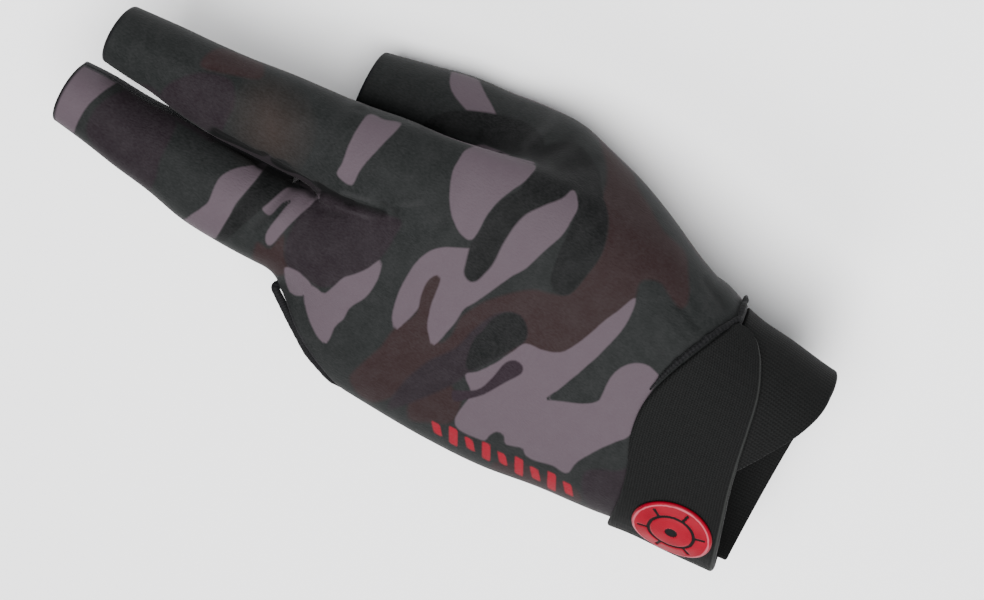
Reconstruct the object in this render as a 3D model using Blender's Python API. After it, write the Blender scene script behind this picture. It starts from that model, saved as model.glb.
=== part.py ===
"""A three-finger billiard glove for the left hand, in the shape it has when it is worn.

Metres. +Y runs along the fingers, +Z out of the back of the hand and +X to the thumb side.
The origin is the middle of the wrist, under the closing strap. The cloth follows a hand
form: five tubes of oval sections that blend into each other. Every piece is laid out on
a grid over that form and given its wall. Angles go round the forearm from the
thumb side (0), over the back of the hand (90), to the little-finger side (180).
"""

import bpy
import numpy as np
from mathutils.bvhtree import BVHTree

# Hand form: the outside of the cloth
HAND_BREADTH = 0.0836
PALM_DEPTH = 0.030
PALM_LENGTH = 0.112
WRIST_BREADTH = 0.0670
WRIST_DEPTH = 0.0400
THUMB_WIDTH = 0.0216
THUMB_REACH = 0.112
THUMB_CROTCH = 0.066
INDEX_WIDTH = 0.0217
INDEX_LENGTH = 0.060
MIDDLE_WIDTH = 0.0237
MIDDLE_LENGTH = 0.066
WEB_FILLET = 0.007
THUMB_FILLET = 0.018

# Cloth panels
CLOTH_WALL = 0.0010
SEAM_GAP = 0.0007
OPENING_RAKE = 0.0016
MIDDLE_CROTCH_DROP = 0.003
OPEN_SIDE_DROP = 0.038

# Edge binding round the opening for the two bare fingers
BINDING_RADIUS = 0.0011

# Wrist
WRIST_EDGE = 0.004
CUFF_LENGTH = 0.0275
ELASTIC_WALL = 0.0015
STRAP_WIDTH = 0.0290
STRAP_WALL = 0.0016
PIPING_RADIUS = 0.0007
PIPING_ANGLES = (-34.0, 74.0)
PATCH_WALL = 0.0009
PATCH_WIDTH = 0.020
BADGE_DIAMETER = 0.0210
BADGE_WALL = 0.0009
BADGE_ANGLE = 125.0
BADGE_DROP = 0.004
CLEARANCE = 0.0003

# Grid density
TUBE_CELLS = 8
SIDE_CELLS = 5
BODY_ROWS = 13
FINGER_ROWS = 13
KNUCKLE_START = 0.72
PROJECT_STEPS = 14
RELAX_STEPS = 40
CLEAR_STEPS = 16
GRADIENT_STEP = 0.00002
RIM_ANGLE = 0.9

# Colours and finishes: base colour, roughness
FINISHES = {
    "printed_cloth": ((0.045, 0.040, 0.044), 0.75),
    "plain_cloth": ((0.012, 0.012, 0.013), 0.80),
    "elastic": ((0.008, 0.008, 0.009), 0.85),
    "hook_tape": ((0.010, 0.010, 0.010), 0.90),
    "red_rubber": ((0.52, 0.01, 0.035), 0.40),
}

# Each table row is a section. y and lift hold shares of the lengths that the tube is given.
#            y       side    lift    width   depth   size it follows
PALM_ROWS = (
    (-0.30, -0.010, 0.00, 0.895, 1.02, "wrist"),
    (-0.20, -0.006, 0.00, 0.915, 1.02, "wrist"),
    (-0.07, 0.008, 0.00, 0.965, 1.01, "wrist"),
    (0.035, 0.016, 0.00, 0.990, 1.00, "wrist"),
    (0.13, 0.016, 0.00, 0.830, 1.26, "palm"),
    (0.27, 0.024, 0.00, 0.880, 1.16, "palm"),
    (0.40, 0.034, 0.00, 0.950, 1.07, "palm"),
    (0.54, 0.050, 0.00, 0.985, 1.00, "palm"),
    (0.70, 0.050, 0.00, 0.950, 0.92, "palm"),
    (0.81, 0.047, 0.01, 0.905, 0.82, "palm"),
    (0.91, 0.046, 0.02, 0.850, 0.66, "palm"),
    (0.98, 0.046, 0.02, 0.780, 0.40, "palm"),
)
THUMB_ROWS = (
    (0.12, 0.250, -0.16, 0.95, 0.95),
    (0.27, 0.358, -0.37, 1.13, 1.10),
    (0.36, 0.402, -0.50, 1.16, 1.16),
    (0.45, 0.440, -0.61, 1.10, 1.12),
    (0.53, 0.462, -0.71, 1.07, 1.09),
    (0.62, 0.448, -0.86, 1.01, 1.03),
    (0.71, 0.424, -0.95, 0.99, 1.00),
    (0.80, 0.415, -0.96, 0.99, 0.99),
    (0.90, 0.392, -0.97, 0.95, 0.94),
    (1.06, 0.362, -0.96, 0.87, 0.84),
)
INDEX_ROWS = (
    (-0.50, 0.305, 0.05, 1.00, 0.90),
    (-0.28, 0.330, -0.02, 1.07, 1.04),
    (-0.03, 0.320, -0.07, 1.07, 1.02),
    (0.13, 0.317, -0.08, 1.05, 0.98),
    (0.30, 0.316, -0.08, 1.00, 0.96),
    (0.47, 0.306, -0.10, 0.96, 0.93),
    (0.63, 0.305, -0.13, 0.89, 0.88),
    (0.80, 0.305, -0.17, 0.82, 0.82),
    (0.90, 0.304, -0.19, 0.78, 0.78),
    (1.08, 0.304, -0.23, 0.69, 0.69),
)
MIDDLE_ROWS = (
    (-0.48, 0.045, 0.10, 0.92, 0.86),
    (-0.26, 0.028, 0.05, 0.98, 0.96),
    (-0.03, 0.018, 0.03, 1.00, 0.96),
    (0.12, 0.014, 0.02, 1.00, 0.93),
    (0.27, 0.015, 0.00, 1.00, 0.90),
    (0.42, 0.020, -0.02, 0.96, 0.88),
    (0.58, 0.038, -0.05, 0.87, 0.84),
    (0.73, 0.051, -0.08, 0.83, 0.81),
    (0.88, 0.066, -0.11, 0.78, 0.76),
    (1.08, 0.075, -0.15, 0.68, 0.68),
)

# Strap edges: angle, top and bottom as shares of the strap's width, lift off the cloth as
# a share of the hook patch's wall
STRAP_ROWS = (
    (15.0, 0.170, 0.070, 0.0),
    (18.0, 0.205, -0.020, 0.0),
    (24.0, 0.240, -0.100, 0.0),
    (33.0, 0.310, -0.172, 0.0),
    (44.0, 0.400, -0.240, 0.0),
    (60.0, 0.520, -0.330, 0.0),
    (76.0, 0.590, -0.410, 0.0),
    (90.0, 0.560, -0.475, 0.0),
    (103.0, 0.465, -0.535, 0.0),
    (118.0, 0.400, -0.590, 0.0),
    (140.0, 0.365, -0.640, 0.0),
    (163.0, 0.345, -0.670, 0.3),
    (190.0, 0.320, -0.690, 1.0),
    (222.0, 0.300, -0.700, 1.0),
    (246.0, 0.260, -0.680, 1.0),
    (252.0, 0.180, -0.610, 1.0),
)
STRAP_LENGTH_CELLS = 44
STRAP_WIDTH_CELLS = 6
BADGE_CELLS = 12

# Cuff rim: angle and depth below the wrist edge as a share of the cuff's length
CUFF_ROWS = (
    (114.0, 0.10),
    (106.0, 0.22),
    (92.0, 0.40),
    (77.0, 0.58),
    (68.0, 0.68),
    (53.0, 0.84),
    (33.0, 0.97),
    (14.0, 1.00),
    (-19.0, 1.00),
    (-90.0, 1.02),
    (-150.0, 0.98),
    (-183.0, 0.94),
)
CUFF_ROUND_CELLS = 44
CUFF_LENGTH_CELLS = 5

# Column angles on the palm form at the wrist and at the finger webs: thumb seam,
# thumb valley, index and middle web, middle and ring web, little-finger side
BACK_ANGLES = ((-60.0, 15.0, 72.0, 114.0, 200.0), (-60.0, -35.0, 72.0, 114.0, 200.0))
PALM_ANGLES = ((-60.0, -84.0, -98.0, -118.0, -160.0), (-60.0, -35.0, -72.0, -114.0, -160.0))
# Seam angles of each finger, first the seam on its thumb side
BACK_SEAMS = {"thumb": (-60.0, 120.0), "index": (-35.0, 180.0), "middle": (0.0, 180.0)}
PALM_SEAMS = {"thumb": (-60.0, -240.0), "index": (-35.0, -180.0), "middle": (0.0, -180.0)}


class Tube:
    """A tube of oval sections that stand square to Y, with rounded ends."""

    def __init__(self, ys, sides, lifts, widths, depths):
        self.ys = np.array(ys)
        self.sections = np.array([sides, lifts, widths, depths])

    def section(self, y):
        """Centre x, centre z, half width and half depth at each y."""
        return [smooth_interp(y, self.ys, row) for row in self.sections]

    def distance(self, points):
        """Distance to the tube, close to true near its surface and negative inside."""
        x, y, z = points[..., 0], points[..., 1], points[..., 2]
        side, lift, half_width, half_depth = self.section(np.clip(y, self.ys[0], self.ys[-1]))
        across, up = (x - side) / half_width, (z - lift) / half_depth
        reach = np.sqrt(across**2 + up**2) + 1e-9
        slope = np.sqrt((across / half_width) ** 2 + (up / half_depth) ** 2) + 1e-9
        away = reach * (reach - 1) / slope
        past = np.maximum(np.maximum(y - self.ys[-1], self.ys[0] - y), 0)
        outside = np.sqrt(np.maximum(away, 0) ** 2 + past**2)
        return np.where(past > 0, outside + np.minimum(away, 0) * 0.3, away)

    def ring(self, y, degrees):
        """Points of the section at each y and angle."""
        side, lift, half_width, half_depth = self.section(y)
        angle = np.radians(degrees)
        return np.stack(
            [side + half_width * np.cos(angle), y + 0 * angle, lift + half_depth * np.sin(angle)], -1
        )


def smooth_interp(at, knots, values):
    """Interpolates through the knots with a slope that is continuous (a cubic Hermite)."""
    knots, values = np.asarray(knots, float), np.asarray(values, float)
    slopes = np.gradient(values, knots)
    at = np.clip(at, knots[0], knots[-1])
    i = np.clip(np.searchsorted(knots, at, side="right") - 1, 0, len(knots) - 2)
    step = knots[i + 1] - knots[i]
    t = (at - knots[i]) / step
    return (
        (2 * t**3 - 3 * t**2 + 1) * values[i]
        + (t**3 - 2 * t**2 + t) * step * slopes[i]
        + (3 * t**2 - 2 * t**3) * values[i + 1]
        + (t**3 - t**2) * step * slopes[i + 1]
    )


def palm_tube():
    """The palm and wrist, ending in the finger webs."""
    sizes = {"wrist": (WRIST_BREADTH, WRIST_DEPTH), "palm": (HAND_BREADTH, PALM_DEPTH)}
    return Tube(
        [row[0] * PALM_LENGTH for row in PALM_ROWS],
        [row[1] * HAND_BREADTH for row in PALM_ROWS],
        [row[2] * PALM_DEPTH for row in PALM_ROWS],
        [row[3] * sizes[row[5]][0] / 2 for row in PALM_ROWS],
        [row[4] * sizes[row[5]][1] / 2 for row in PALM_ROWS],
    )


def finger_tube(rows, start, length, width):
    """A finger whose rows give y from start in shares of its length."""
    return Tube(
        [start + row[0] * length for row in rows],
        [row[1] * HAND_BREADTH for row in rows],
        [row[2] * PALM_DEPTH for row in rows],
        [row[3] * width / 2 for row in rows],
        [row[4] * width / 2 for row in rows],
    )


TUBES = {
    "palm": palm_tube(),
    "thumb": finger_tube(THUMB_ROWS, 0.0, THUMB_REACH, THUMB_WIDTH),
    "index": finger_tube(INDEX_ROWS, PALM_LENGTH, INDEX_LENGTH, INDEX_WIDTH),
    "middle": finger_tube(MIDDLE_ROWS, PALM_LENGTH, MIDDLE_LENGTH, MIDDLE_WIDTH),
}
OPENINGS = {
    "thumb": THUMB_REACH,
    "index": PALM_LENGTH + INDEX_LENGTH,
    "middle": PALM_LENGTH + MIDDLE_LENGTH,
}


def soft_min(first, second, fillet):
    """The smaller distance, rounded by the fillet where the two are alike."""
    near = np.maximum(fillet - np.abs(first - second), 0) / fillet
    return np.minimum(first, second) - near**2 * fillet / 4


def form_distance(points):
    """Distance to the whole hand form: fingers and thumb, each with a fillet at the palm."""
    palm, thumb, index, middle = (tube.distance(points) for tube in TUBES.values())
    return np.minimum(
        soft_min(palm, thumb, THUMB_FILLET), soft_min(palm, np.minimum(index, middle), WEB_FILLET)
    )


def form_gradient(points):
    """The outward slope of the form's distance."""
    steps = np.eye(3) * GRADIENT_STEP
    return np.stack(
        [(form_distance(points + s) - form_distance(points - s)) / (2 * GRADIENT_STEP) for s in steps],
        -1,
    )


def laid_on_form(points, lift=0.0, steps=PROJECT_STEPS, level=False):
    """The points moved along the slope until they stand lift above the form.

    Level keeps each point's y.
    """
    for _ in range(steps):
        slope = form_gradient(points) * ([1, 0, 1] if level else [1, 1, 1])
        size = np.maximum((slope**2).sum(-1, keepdims=True), 0.2)
        points = points - 0.8 * (form_distance(points) - lift)[..., None] * slope / size
    return points


def eased(share):
    """A share from 0 to 1 with level ends."""
    share = np.clip(share, 0, 1)
    return share * share * (3 - 2 * share)


class Panel:
    """One cloth panel: a body grid from wrist to finger webs, and a half tube for each finger."""

    def __init__(self, body_angles, seams):
        self.body_angles = body_angles
        self.seams = seams
        self.points = []
        self.faces = []

    def column_knots(self):
        """Column numbers of the thumb seam, thumb valley, webs and little-finger side."""
        return [0, TUBE_CELLS, 2 * TUBE_CELLS, 3 * TUBE_CELLS, 3 * TUBE_CELLS + SIDE_CELLS]

    def web_line(self, column):
        """y of the line where the fingers and the open side begin, at each column."""
        knots = self.column_knots()
        side = PALM_LENGTH - MIDDLE_CROTCH_DROP
        ends = [THUMB_CROTCH - 0.004, THUMB_CROTCH, PALM_LENGTH, side, side - OPEN_SIDE_DROP]
        return np.interp(column, knots, ends)

    def places(self, column, y, run):
        """Where grid points start before they are laid on the form. Run is 0 to 1 up the body."""
        knots = self.column_knots()
        low, high = (np.interp(column, knots, angles) for angles in self.body_angles)
        points = TUBES["palm"].ring(y, low + (high - low) * np.clip(y / THUMB_CROTCH, 0, 1))
        up_palm = eased((y / PALM_LENGTH - KNUCKLE_START) / (1 - KNUCKLE_START))
        for place, name in enumerate(self.seams):
            share = (column - knots[place]) / TUBE_CELLS
            inside = (share >= 0) & (share <= 1)
            start, end = self.seams[name]
            own = TUBES[name].ring(y, start + (end - start) * share)
            sharpness = 1 + 2 * (name == "middle") * np.clip(share, 0, 1)
            weight = eased(run) if name == "thumb" else up_palm**sharpness
            points = np.where(inside[..., None], points + weight[..., None] * (own - points), points)
        return points

    def body(self):
        """The grid from the wrist edge to the web line, one point a row and column."""
        knots = self.column_knots()
        column, row = np.meshgrid(np.arange(knots[-1] + 1.0), np.arange(BODY_ROWS + 1.0))
        run = row / BODY_ROWS
        y = WRIST_EDGE + (self.web_line(column) - WRIST_EDGE) * run
        points = self.places(column, y, run)
        # At a web the two fingers' seams meet in one point
        for place, pair in ((1, ("thumb", "index")), (2, ("index", "middle"))):
            crotch = TUBES[pair[0]].ring(y[-1, knots[place]], self.seams[pair[0]][1])
            other = TUBES[pair[1]].ring(y[-1, knots[place]], self.seams[pair[1]][0])
            points[-1, knots[place]] = (crotch + other) / 2
        return points

    def finger(self, name, base):
        """The half tube of a finger, from its base row to its opening."""
        start, end = self.seams[name]
        share = np.linspace(0, 1, TUBE_CELLS + 1)
        rake = OPENING_RAKE * np.sin(np.radians(start + (end - start) * share))
        along = (np.arange(1.0, FINGER_ROWS + 1) / FINGER_ROWS)[:, None]
        y = base[:, 1] + (OPENINGS[name] + rake - base[:, 1]) * along
        column = (list(self.seams).index(name) + share) * TUBE_CELLS + 0 * y
        edge = 1e-6 * (1 - 2 * share)
        return self.places(column + edge, y, np.ones_like(y))

    def build(self):
        """Fills points and faces, and returns the point numbers of the body grid."""
        body = self.body()
        numbers = np.arange(body[..., 0].size).reshape(body.shape[:2])
        grids, parts, fixed = [numbers], [body], [*numbers[0], numbers[-1, -1]]
        total = numbers.size
        for place, name in enumerate(self.seams):
            columns = slice(place * TUBE_CELLS, (place + 1) * TUBE_CELLS + 1)
            tube = self.finger(name, body[-1, columns])
            own = total + np.arange(tube[..., 0].size).reshape(tube.shape[:2])
            total += own.size
            grids.append(np.vstack([numbers[-1:, columns], own]))
            parts.append(tube)
            fixed += [own[-1, 0], own[-1, -1], numbers[-1, columns][-1]]
        points = np.concatenate([part.reshape(-1, 3) for part in parts])
        points[numbers[0]] = laid_on_form(points[numbers[0]], level=True)
        points = laid_on_form(points)
        self.faces = facing_out(points, np.concatenate([grid_faces(grid) for grid in grids]))
        self.points = relaxed(points, self.faces, fixed)
        return numbers


def relaxed(points, faces, fixed):
    """The points drawn towards their neighbours on the form. Border points keep to the border."""
    border = np.array(border_edges(faces))
    ends = np.stack([faces, np.roll(faces, -1, 1)], -1).reshape(-1, 2)
    inner = ends[~np.isin(ends[:, 0], border)]
    back = ends[~np.isin(ends[:, 1], border)][:, ::-1]
    pairs = np.concatenate([inner, back, border, border[:, ::-1]])
    pairs = pairs[~np.isin(pairs[:, 0], fixed)]
    count = np.maximum(np.bincount(pairs[:, 0], minlength=len(points)), 1)[:, None]
    for _ in range(RELAX_STEPS):
        pull = np.zeros_like(points)
        np.add.at(pull, pairs[:, 0], points[pairs[:, 1]] - points[pairs[:, 0]])
        points = laid_on_form(points + 0.5 * pull / count, steps=2)
    return laid_on_form(points)


def grid_faces(numbers):
    """The quads of a grid of point numbers."""
    corners = [numbers[:-1, :-1], numbers[:-1, 1:], numbers[1:, 1:], numbers[1:, :-1]]
    return np.stack([c.ravel() for c in corners], -1)


def facing_out(points, faces):
    """The faces turned so that they look away from the form."""
    a, b, c = (points[faces[:, i]] for i in range(3))
    facing = (np.cross(b - a, c - a) * form_gradient((a + c) / 2)).sum()
    return faces if facing > 0 else faces[:, ::-1]


def border_edges(faces):
    """Each open edge as a pair of point numbers, in its face's direction."""
    ends = np.stack([faces, np.roll(faces, -1, 1)], -1).reshape(-1, 2).tolist()
    both = {tuple(pair) for pair in ends}
    return sorted(pair for pair in both if (pair[1], pair[0]) not in both)


def drawn_in(points, faces, distance):
    """The points with each border point moved into the sheet by the distance."""
    moved = points.copy()
    inward = np.zeros_like(points)
    slope = form_gradient(points)
    for a, b in border_edges(faces):
        along = points[b] - points[a]
        across = np.cross(slope[a] + slope[b], along)
        across /= np.linalg.norm(across) + 1e-12
        inward[a] += across
        inward[b] += across
    size = np.linalg.norm(inward, axis=1)
    edge = size > 1e-6
    moved[edge] += distance * inward[edge] / size[edge, None]
    return moved


def clear_scene():
    """Removes what the startup scene holds."""
    for obj in list(bpy.data.objects):
        bpy.data.objects.remove(obj)


def finish(name):
    """The material of that name."""
    colour, roughness = FINISHES[name]
    material = bpy.data.materials.get(name) or bpy.data.materials.new(name)
    material.use_nodes = True
    shader = material.node_tree.nodes["Principled BSDF"]
    shader.inputs["Base Color"].default_value = (*colour, 1.0)
    shader.inputs["Roughness"].default_value = roughness
    return material


def sheet(name, points, faces, wall, outward, material):
    """A closed cloth body: the sheet, its second skin along the form's slope, and its rim."""
    faces = facing_out(points, faces)
    grown = cloth_normal(points) * wall
    top, bottom = (points + grown, points) if outward else (points, points - grown)
    count = len(points)
    rim = [(b, a, a + count, b + count) for a, b in border_edges(faces)]
    mesh = bpy.data.meshes.new(name)
    skins = np.concatenate([top, bottom])
    mesh.from_pydata(skins.tolist(), [], faces.tolist() + (faces[:, ::-1] + count).tolist() + rim)
    mesh.update()
    return placed(name, mesh, material)


def placed(name, mesh, material):
    """The mesh as an object of the glove, shaded smooth except at its rim."""
    mesh.materials.append(finish(material))
    mesh.shade_smooth()
    mesh.set_sharp_from_angle(angle=RIM_ANGLE)
    obj = bpy.data.objects.new(name, mesh)
    glove.objects.link(obj)
    return obj


def cord(name, points, radius, closed, material):
    """A round cord through the points."""
    curve = bpy.data.curves.new(name, "CURVE")
    curve.dimensions = "3D"
    spline = curve.splines.new("POLY")
    spline.points.add(len(points) - 1)
    for knot, point in zip(spline.points, points):
        knot.co = (*point, 1.0)
    spline.use_cyclic_u = closed
    curve.bevel_depth = radius
    curve.bevel_resolution = 2
    curve.use_fill_caps = True
    curve.materials.append(finish(material))
    obj = bpy.data.objects.new(name, curve)
    glove.objects.link(obj)
    return obj


def panels():
    """The printed back panel and the plain palm panel, with the rims of the open side."""
    rims, solids = [], []
    for name, angles, seams, material in (
        ("back_panel", BACK_ANGLES, BACK_SEAMS, "printed_cloth"),
        ("palm_panel", PALM_ANGLES, PALM_SEAMS, "plain_cloth"),
    ):
        panel = Panel(angles, seams)
        body = panel.build()
        rims.append(panel.points[body[-1, 3 * TUBE_CELLS :]])
        drawn = drawn_in(panel.points, panel.faces, SEAM_GAP / 2)
        solids.append(sheet(name, drawn, panel.faces, CLOTH_WALL, False, material))
    return rims, solids


def kept_clear(points, solids, distance, closed):
    """The path smoothed a little and pushed out until it is that far from the solids."""
    trees = [BVHTree.FromPolygons(*faces_of(obj)) for obj in solids]
    for turn in range(CLEAR_STEPS):
        if turn < CLEAR_STEPS / 2:
            mean = (np.roll(points, 1, 0) + np.roll(points, -1, 0)) / 2
            eased_points = points + 0.3 * (mean - points)
            points = eased_points if closed else np.vstack([points[:1], eased_points[1:-1], points[-1:]])
        for tree in trees:
            near = np.array([tree.find_nearest(point)[0] for point in points])
            apart = points - near
            size = np.linalg.norm(apart, axis=1, keepdims=True)
            points = points + apart / size * np.maximum(distance - size, 0)
    return points


def faces_of(obj):
    """An object's points and faces as plain lists."""
    mesh = obj.data
    return [v.co[:] for v in mesh.vertices], [p.vertices[:] for p in mesh.polygons]


def edge_binding(rims, solids):
    """The rolled binding, a closed cord round the opening for the two bare fingers."""
    back, palm = rims
    loop = np.concatenate([back, palm[-2:0:-1]])
    away = np.cross(np.roll(loop, -1, 0) - np.roll(loop, 1, 0), form_gradient(loop))
    away /= np.linalg.norm(away, axis=1, keepdims=True)
    away *= np.sign(away[:, 1:2])
    centre = loop + away * (BINDING_RADIUS + CLEARANCE) - cloth_normal(loop) * CLOTH_WALL / 2
    path = kept_clear(rounded(centre, 4), solids, BINDING_RADIUS + 1.5 * CLEARANCE, True)
    return cord("edge_binding", path, BINDING_RADIUS, True, "elastic")


def cloth_normal(points):
    """Unit vectors out of the form."""
    slope = form_gradient(points)
    return slope / np.linalg.norm(slope, axis=-1, keepdims=True)


def rounded(loop, per_span):
    """A closed loop through the points, with per_span points a span on a Catmull-Rom curve."""
    before, after, later = np.roll(loop, 1, 0), np.roll(loop, -1, 0), np.roll(loop, -2, 0)
    spans = []
    for t in np.arange(per_span) / per_span:
        spans.append(
            0.5
            * (
                2 * loop
                + (after - before) * t
                + (2 * before - 5 * loop + 4 * after - later) * t**2
                + (3 * loop - before - 3 * after + later) * t**3
            )
        )
    return np.stack(spans, 1).reshape(-1, 3)


def strap_edges(angle):
    """Top y, bottom y and lift of the strap at each angle."""
    rows = np.array(STRAP_ROWS).T
    top, bottom, lift = (smooth_interp(angle, rows[0], rows[i]) for i in (1, 2, 3))
    return top * STRAP_WIDTH, bottom * STRAP_WIDTH, np.clip(lift, 0, 1)


def strap_lift(angle):
    """Height of the strap's inner face above the cloth."""
    return CLEARANCE + strap_edges(angle)[2] * (PATCH_WALL + CLEARANCE)


def on_wrist(angle, y, lift):
    """Points at these angles and y, that high above the form."""
    return laid_on_form(TUBES["palm"].ring(y, angle), lift, level=True)


def wrist_strap():
    """The elastic closing strap, from its seam on the thumb side to its free end."""
    first, last = STRAP_ROWS[0][0], STRAP_ROWS[-1][0]
    angle, share = np.meshgrid(
        np.linspace(first, last, STRAP_LENGTH_CELLS + 1), np.linspace(0, 1, STRAP_WIDTH_CELLS + 1)
    )
    top, bottom, _ = strap_edges(angle)
    points = on_wrist(angle, bottom + (top - bottom) * share, strap_lift(angle))
    numbers = np.arange(angle.size).reshape(angle.shape)
    flat = points.reshape(-1, 3)
    return sheet("wrist_strap", flat, grid_faces(numbers), STRAP_WALL, True, "elastic")


def cuff_band():
    """The elastic cuff, open on the back of the wrist under the strap."""
    rows = np.array(CUFF_ROWS).T
    angle, share = np.meshgrid(
        np.linspace(rows[0][0], rows[0][-1], CUFF_ROUND_CELLS + 1),
        np.linspace(0, 1, CUFF_LENGTH_CELLS + 1),
    )
    rim = WRIST_EDGE - smooth_interp(-angle, -rows[0], rows[1]) * CUFF_LENGTH
    start = WRIST_EDGE - SEAM_GAP / 2 - CLEARANCE
    points = on_wrist(angle, rim + (start - rim) * share, 0.0)
    numbers = np.arange(angle.size).reshape(angle.shape)
    flat = points.reshape(-1, 3)
    return sheet("cuff_band", flat, grid_faces(numbers), ELASTIC_WALL, False, "elastic")


def strap_piping(solids):
    """The gathered seam that joins the strap and the cuff to the back panel."""
    angle = np.linspace(*PIPING_ANGLES, 40)
    first = STRAP_ROWS[0][0]
    rise = eased((angle - first) / 6.0)
    beside = PIPING_RADIUS + 2 * CLEARANCE
    top = strap_edges(np.maximum(angle, first))[0]
    y = WRIST_EDGE + beside + (top - WRIST_EDGE) * rise
    points = on_wrist(angle, y, PIPING_RADIUS + CLEARANCE)
    path = kept_clear(points, solids, PIPING_RADIUS + CLEARANCE, False)
    return cord("strap_piping", path, PIPING_RADIUS, False, "elastic")


def round_grid(cells):
    """A square grid from -1 to 1 pressed into a disc of radius 1."""
    u, v = np.meshgrid(np.linspace(-1, 1, cells + 1), np.linspace(-1, 1, cells + 1))
    return u * np.sqrt(1 - v * v / 2), v * np.sqrt(1 - u * u / 2)


def hook_patch():
    """The hook tape under the strap's free end, on the cuff."""
    angle, share = np.meshgrid(np.linspace(196.0, 240.0, 13), np.linspace(-0.5, 0.5, 5))
    top, bottom, _ = strap_edges(angle)
    y = (top + bottom) / 2 + share * PATCH_WIDTH
    points = on_wrist(angle, y, CLEARANCE).reshape(-1, 3)
    numbers = np.arange(angle.size).reshape(angle.shape)
    return sheet("hook_patch", points, grid_faces(numbers), PATCH_WALL, True, "hook_tape")


def badge():
    """The round rubber badge on the strap, bent to the wrist."""
    lift = strap_lift(BADGE_ANGLE) + STRAP_WALL + CLEARANCE
    middle = on_wrist(np.array([BADGE_ANGLE]), np.array([-BADGE_DROP]), lift)[0]
    round_way = np.cross([0.0, 1.0, 0.0], cloth_normal(middle))
    round_way /= np.linalg.norm(round_way)
    across, along = (grid[..., None] * BADGE_DIAMETER / 2 for grid in round_grid(BADGE_CELLS))
    flat = middle + across * round_way + along * np.array([0.0, 1.0, 0.0])
    numbers = np.arange(flat[..., 0].size).reshape(flat.shape[:2])
    points = laid_on_form(flat, lift).reshape(-1, 3)
    return sheet("badge_disc", points, grid_faces(numbers), BADGE_WALL, True, "red_rubber")


clear_scene()
glove = bpy.data.collections.new("billiard_glove")
bpy.context.scene.collection.children.link(glove)
opening_rims, cloth_panels = panels()
edge_binding(opening_rims, cloth_panels)
cuff = cuff_band()
strap = wrist_strap()
strap_piping([*cloth_panels, cuff, strap])
hook_patch()
badge()
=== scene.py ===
"""Looks of a three-finger billiard glove: printed stretch cloth, elastic cuff and strap, and badge.

Metres, in the frame of the CAD model: +Y along the fingers, +Z out of the back of the hand,
+X to the thumb side. The print is drawn on a flat chart in millimetres. The chart lies over
the back of the hand as a pattern sheet would, turned about the finger axis to the thumb side.
"""

import logging
from collections.abc import Callable, Sequence
from dataclasses import dataclass, field
from enum import Enum

import bpy
import numpy as np
from mathutils import Matrix
from mathutils.bvhtree import BVHTree


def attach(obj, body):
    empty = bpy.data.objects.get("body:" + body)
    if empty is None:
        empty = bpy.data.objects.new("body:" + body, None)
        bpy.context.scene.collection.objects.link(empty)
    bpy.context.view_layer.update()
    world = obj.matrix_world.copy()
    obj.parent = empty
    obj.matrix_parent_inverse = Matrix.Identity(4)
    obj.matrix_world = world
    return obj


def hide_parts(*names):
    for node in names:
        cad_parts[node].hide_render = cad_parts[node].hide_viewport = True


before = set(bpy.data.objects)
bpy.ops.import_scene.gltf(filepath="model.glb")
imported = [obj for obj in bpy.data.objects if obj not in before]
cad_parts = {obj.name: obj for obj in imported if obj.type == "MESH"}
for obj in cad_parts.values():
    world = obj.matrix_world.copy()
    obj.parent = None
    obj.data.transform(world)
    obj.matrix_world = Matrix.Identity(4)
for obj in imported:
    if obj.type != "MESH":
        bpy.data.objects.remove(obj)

Array = np.ndarray
log = logging.getLogger("glove")

MM = 0.001
TILT = np.radians(30.0)
TURN = np.radians(26.0)


def smooth_interp(at: Array, knots: Array, values: Array) -> Array:
    """Interpolates through knots with a continuous slope: a cubic Hermite on each span.

    Args:
        at: where to read the curve.
        knots: rising positions.
        values: the value at each knot.

    Returns:
        The curve's value at each position.
    """
    slopes = np.gradient(values, knots)
    at = np.clip(at, knots[0], knots[-1])
    i = np.clip(np.searchsorted(knots, at, side="right") - 1, 0, len(knots) - 2)
    step = knots[i + 1] - knots[i]
    t = (at - knots[i]) / step
    start = (2 * t**3 - 3 * t**2 + 1) * values[i] + (t**3 - 2 * t**2 + t) * step * slopes[i]
    end = (3 * t**2 - 2 * t**3) * values[i + 1] + (t**3 - t**2) * step * slopes[i + 1]
    return start + end


def eased(share: Array) -> Array:
    """A share from 0 to 1 with level ends: three squares less two cubes."""
    share = np.clip(share, 0.0, 1.0)
    return share * share * (3.0 - 2.0 * share)


def unit(vectors: Array) -> Array:
    """The vectors at length one."""
    return vectors / (np.linalg.norm(vectors, axis=-1, keepdims=True) + 1e-12)


def grid_faces(numbers: Array) -> Array:
    """The quads of a grid of point numbers, one row of four numbers a quad."""
    corners = [numbers[:-1, :-1], numbers[:-1, 1:], numbers[1:, 1:], numbers[1:, :-1]]
    return np.stack([corner.ravel() for corner in corners], -1)


def border_edges(faces: Array) -> Array:
    """The open edges as pairs of point numbers, in the direction of their faces."""
    ends = np.stack([faces, np.roll(faces, -1, 1)], -1).reshape(-1, 2)
    size = int(faces.max()) + 1
    ahead, back = ends[:, 0] * size + ends[:, 1], ends[:, 1] * size + ends[:, 0]
    return ends[~np.isin(ahead, back)]


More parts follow.
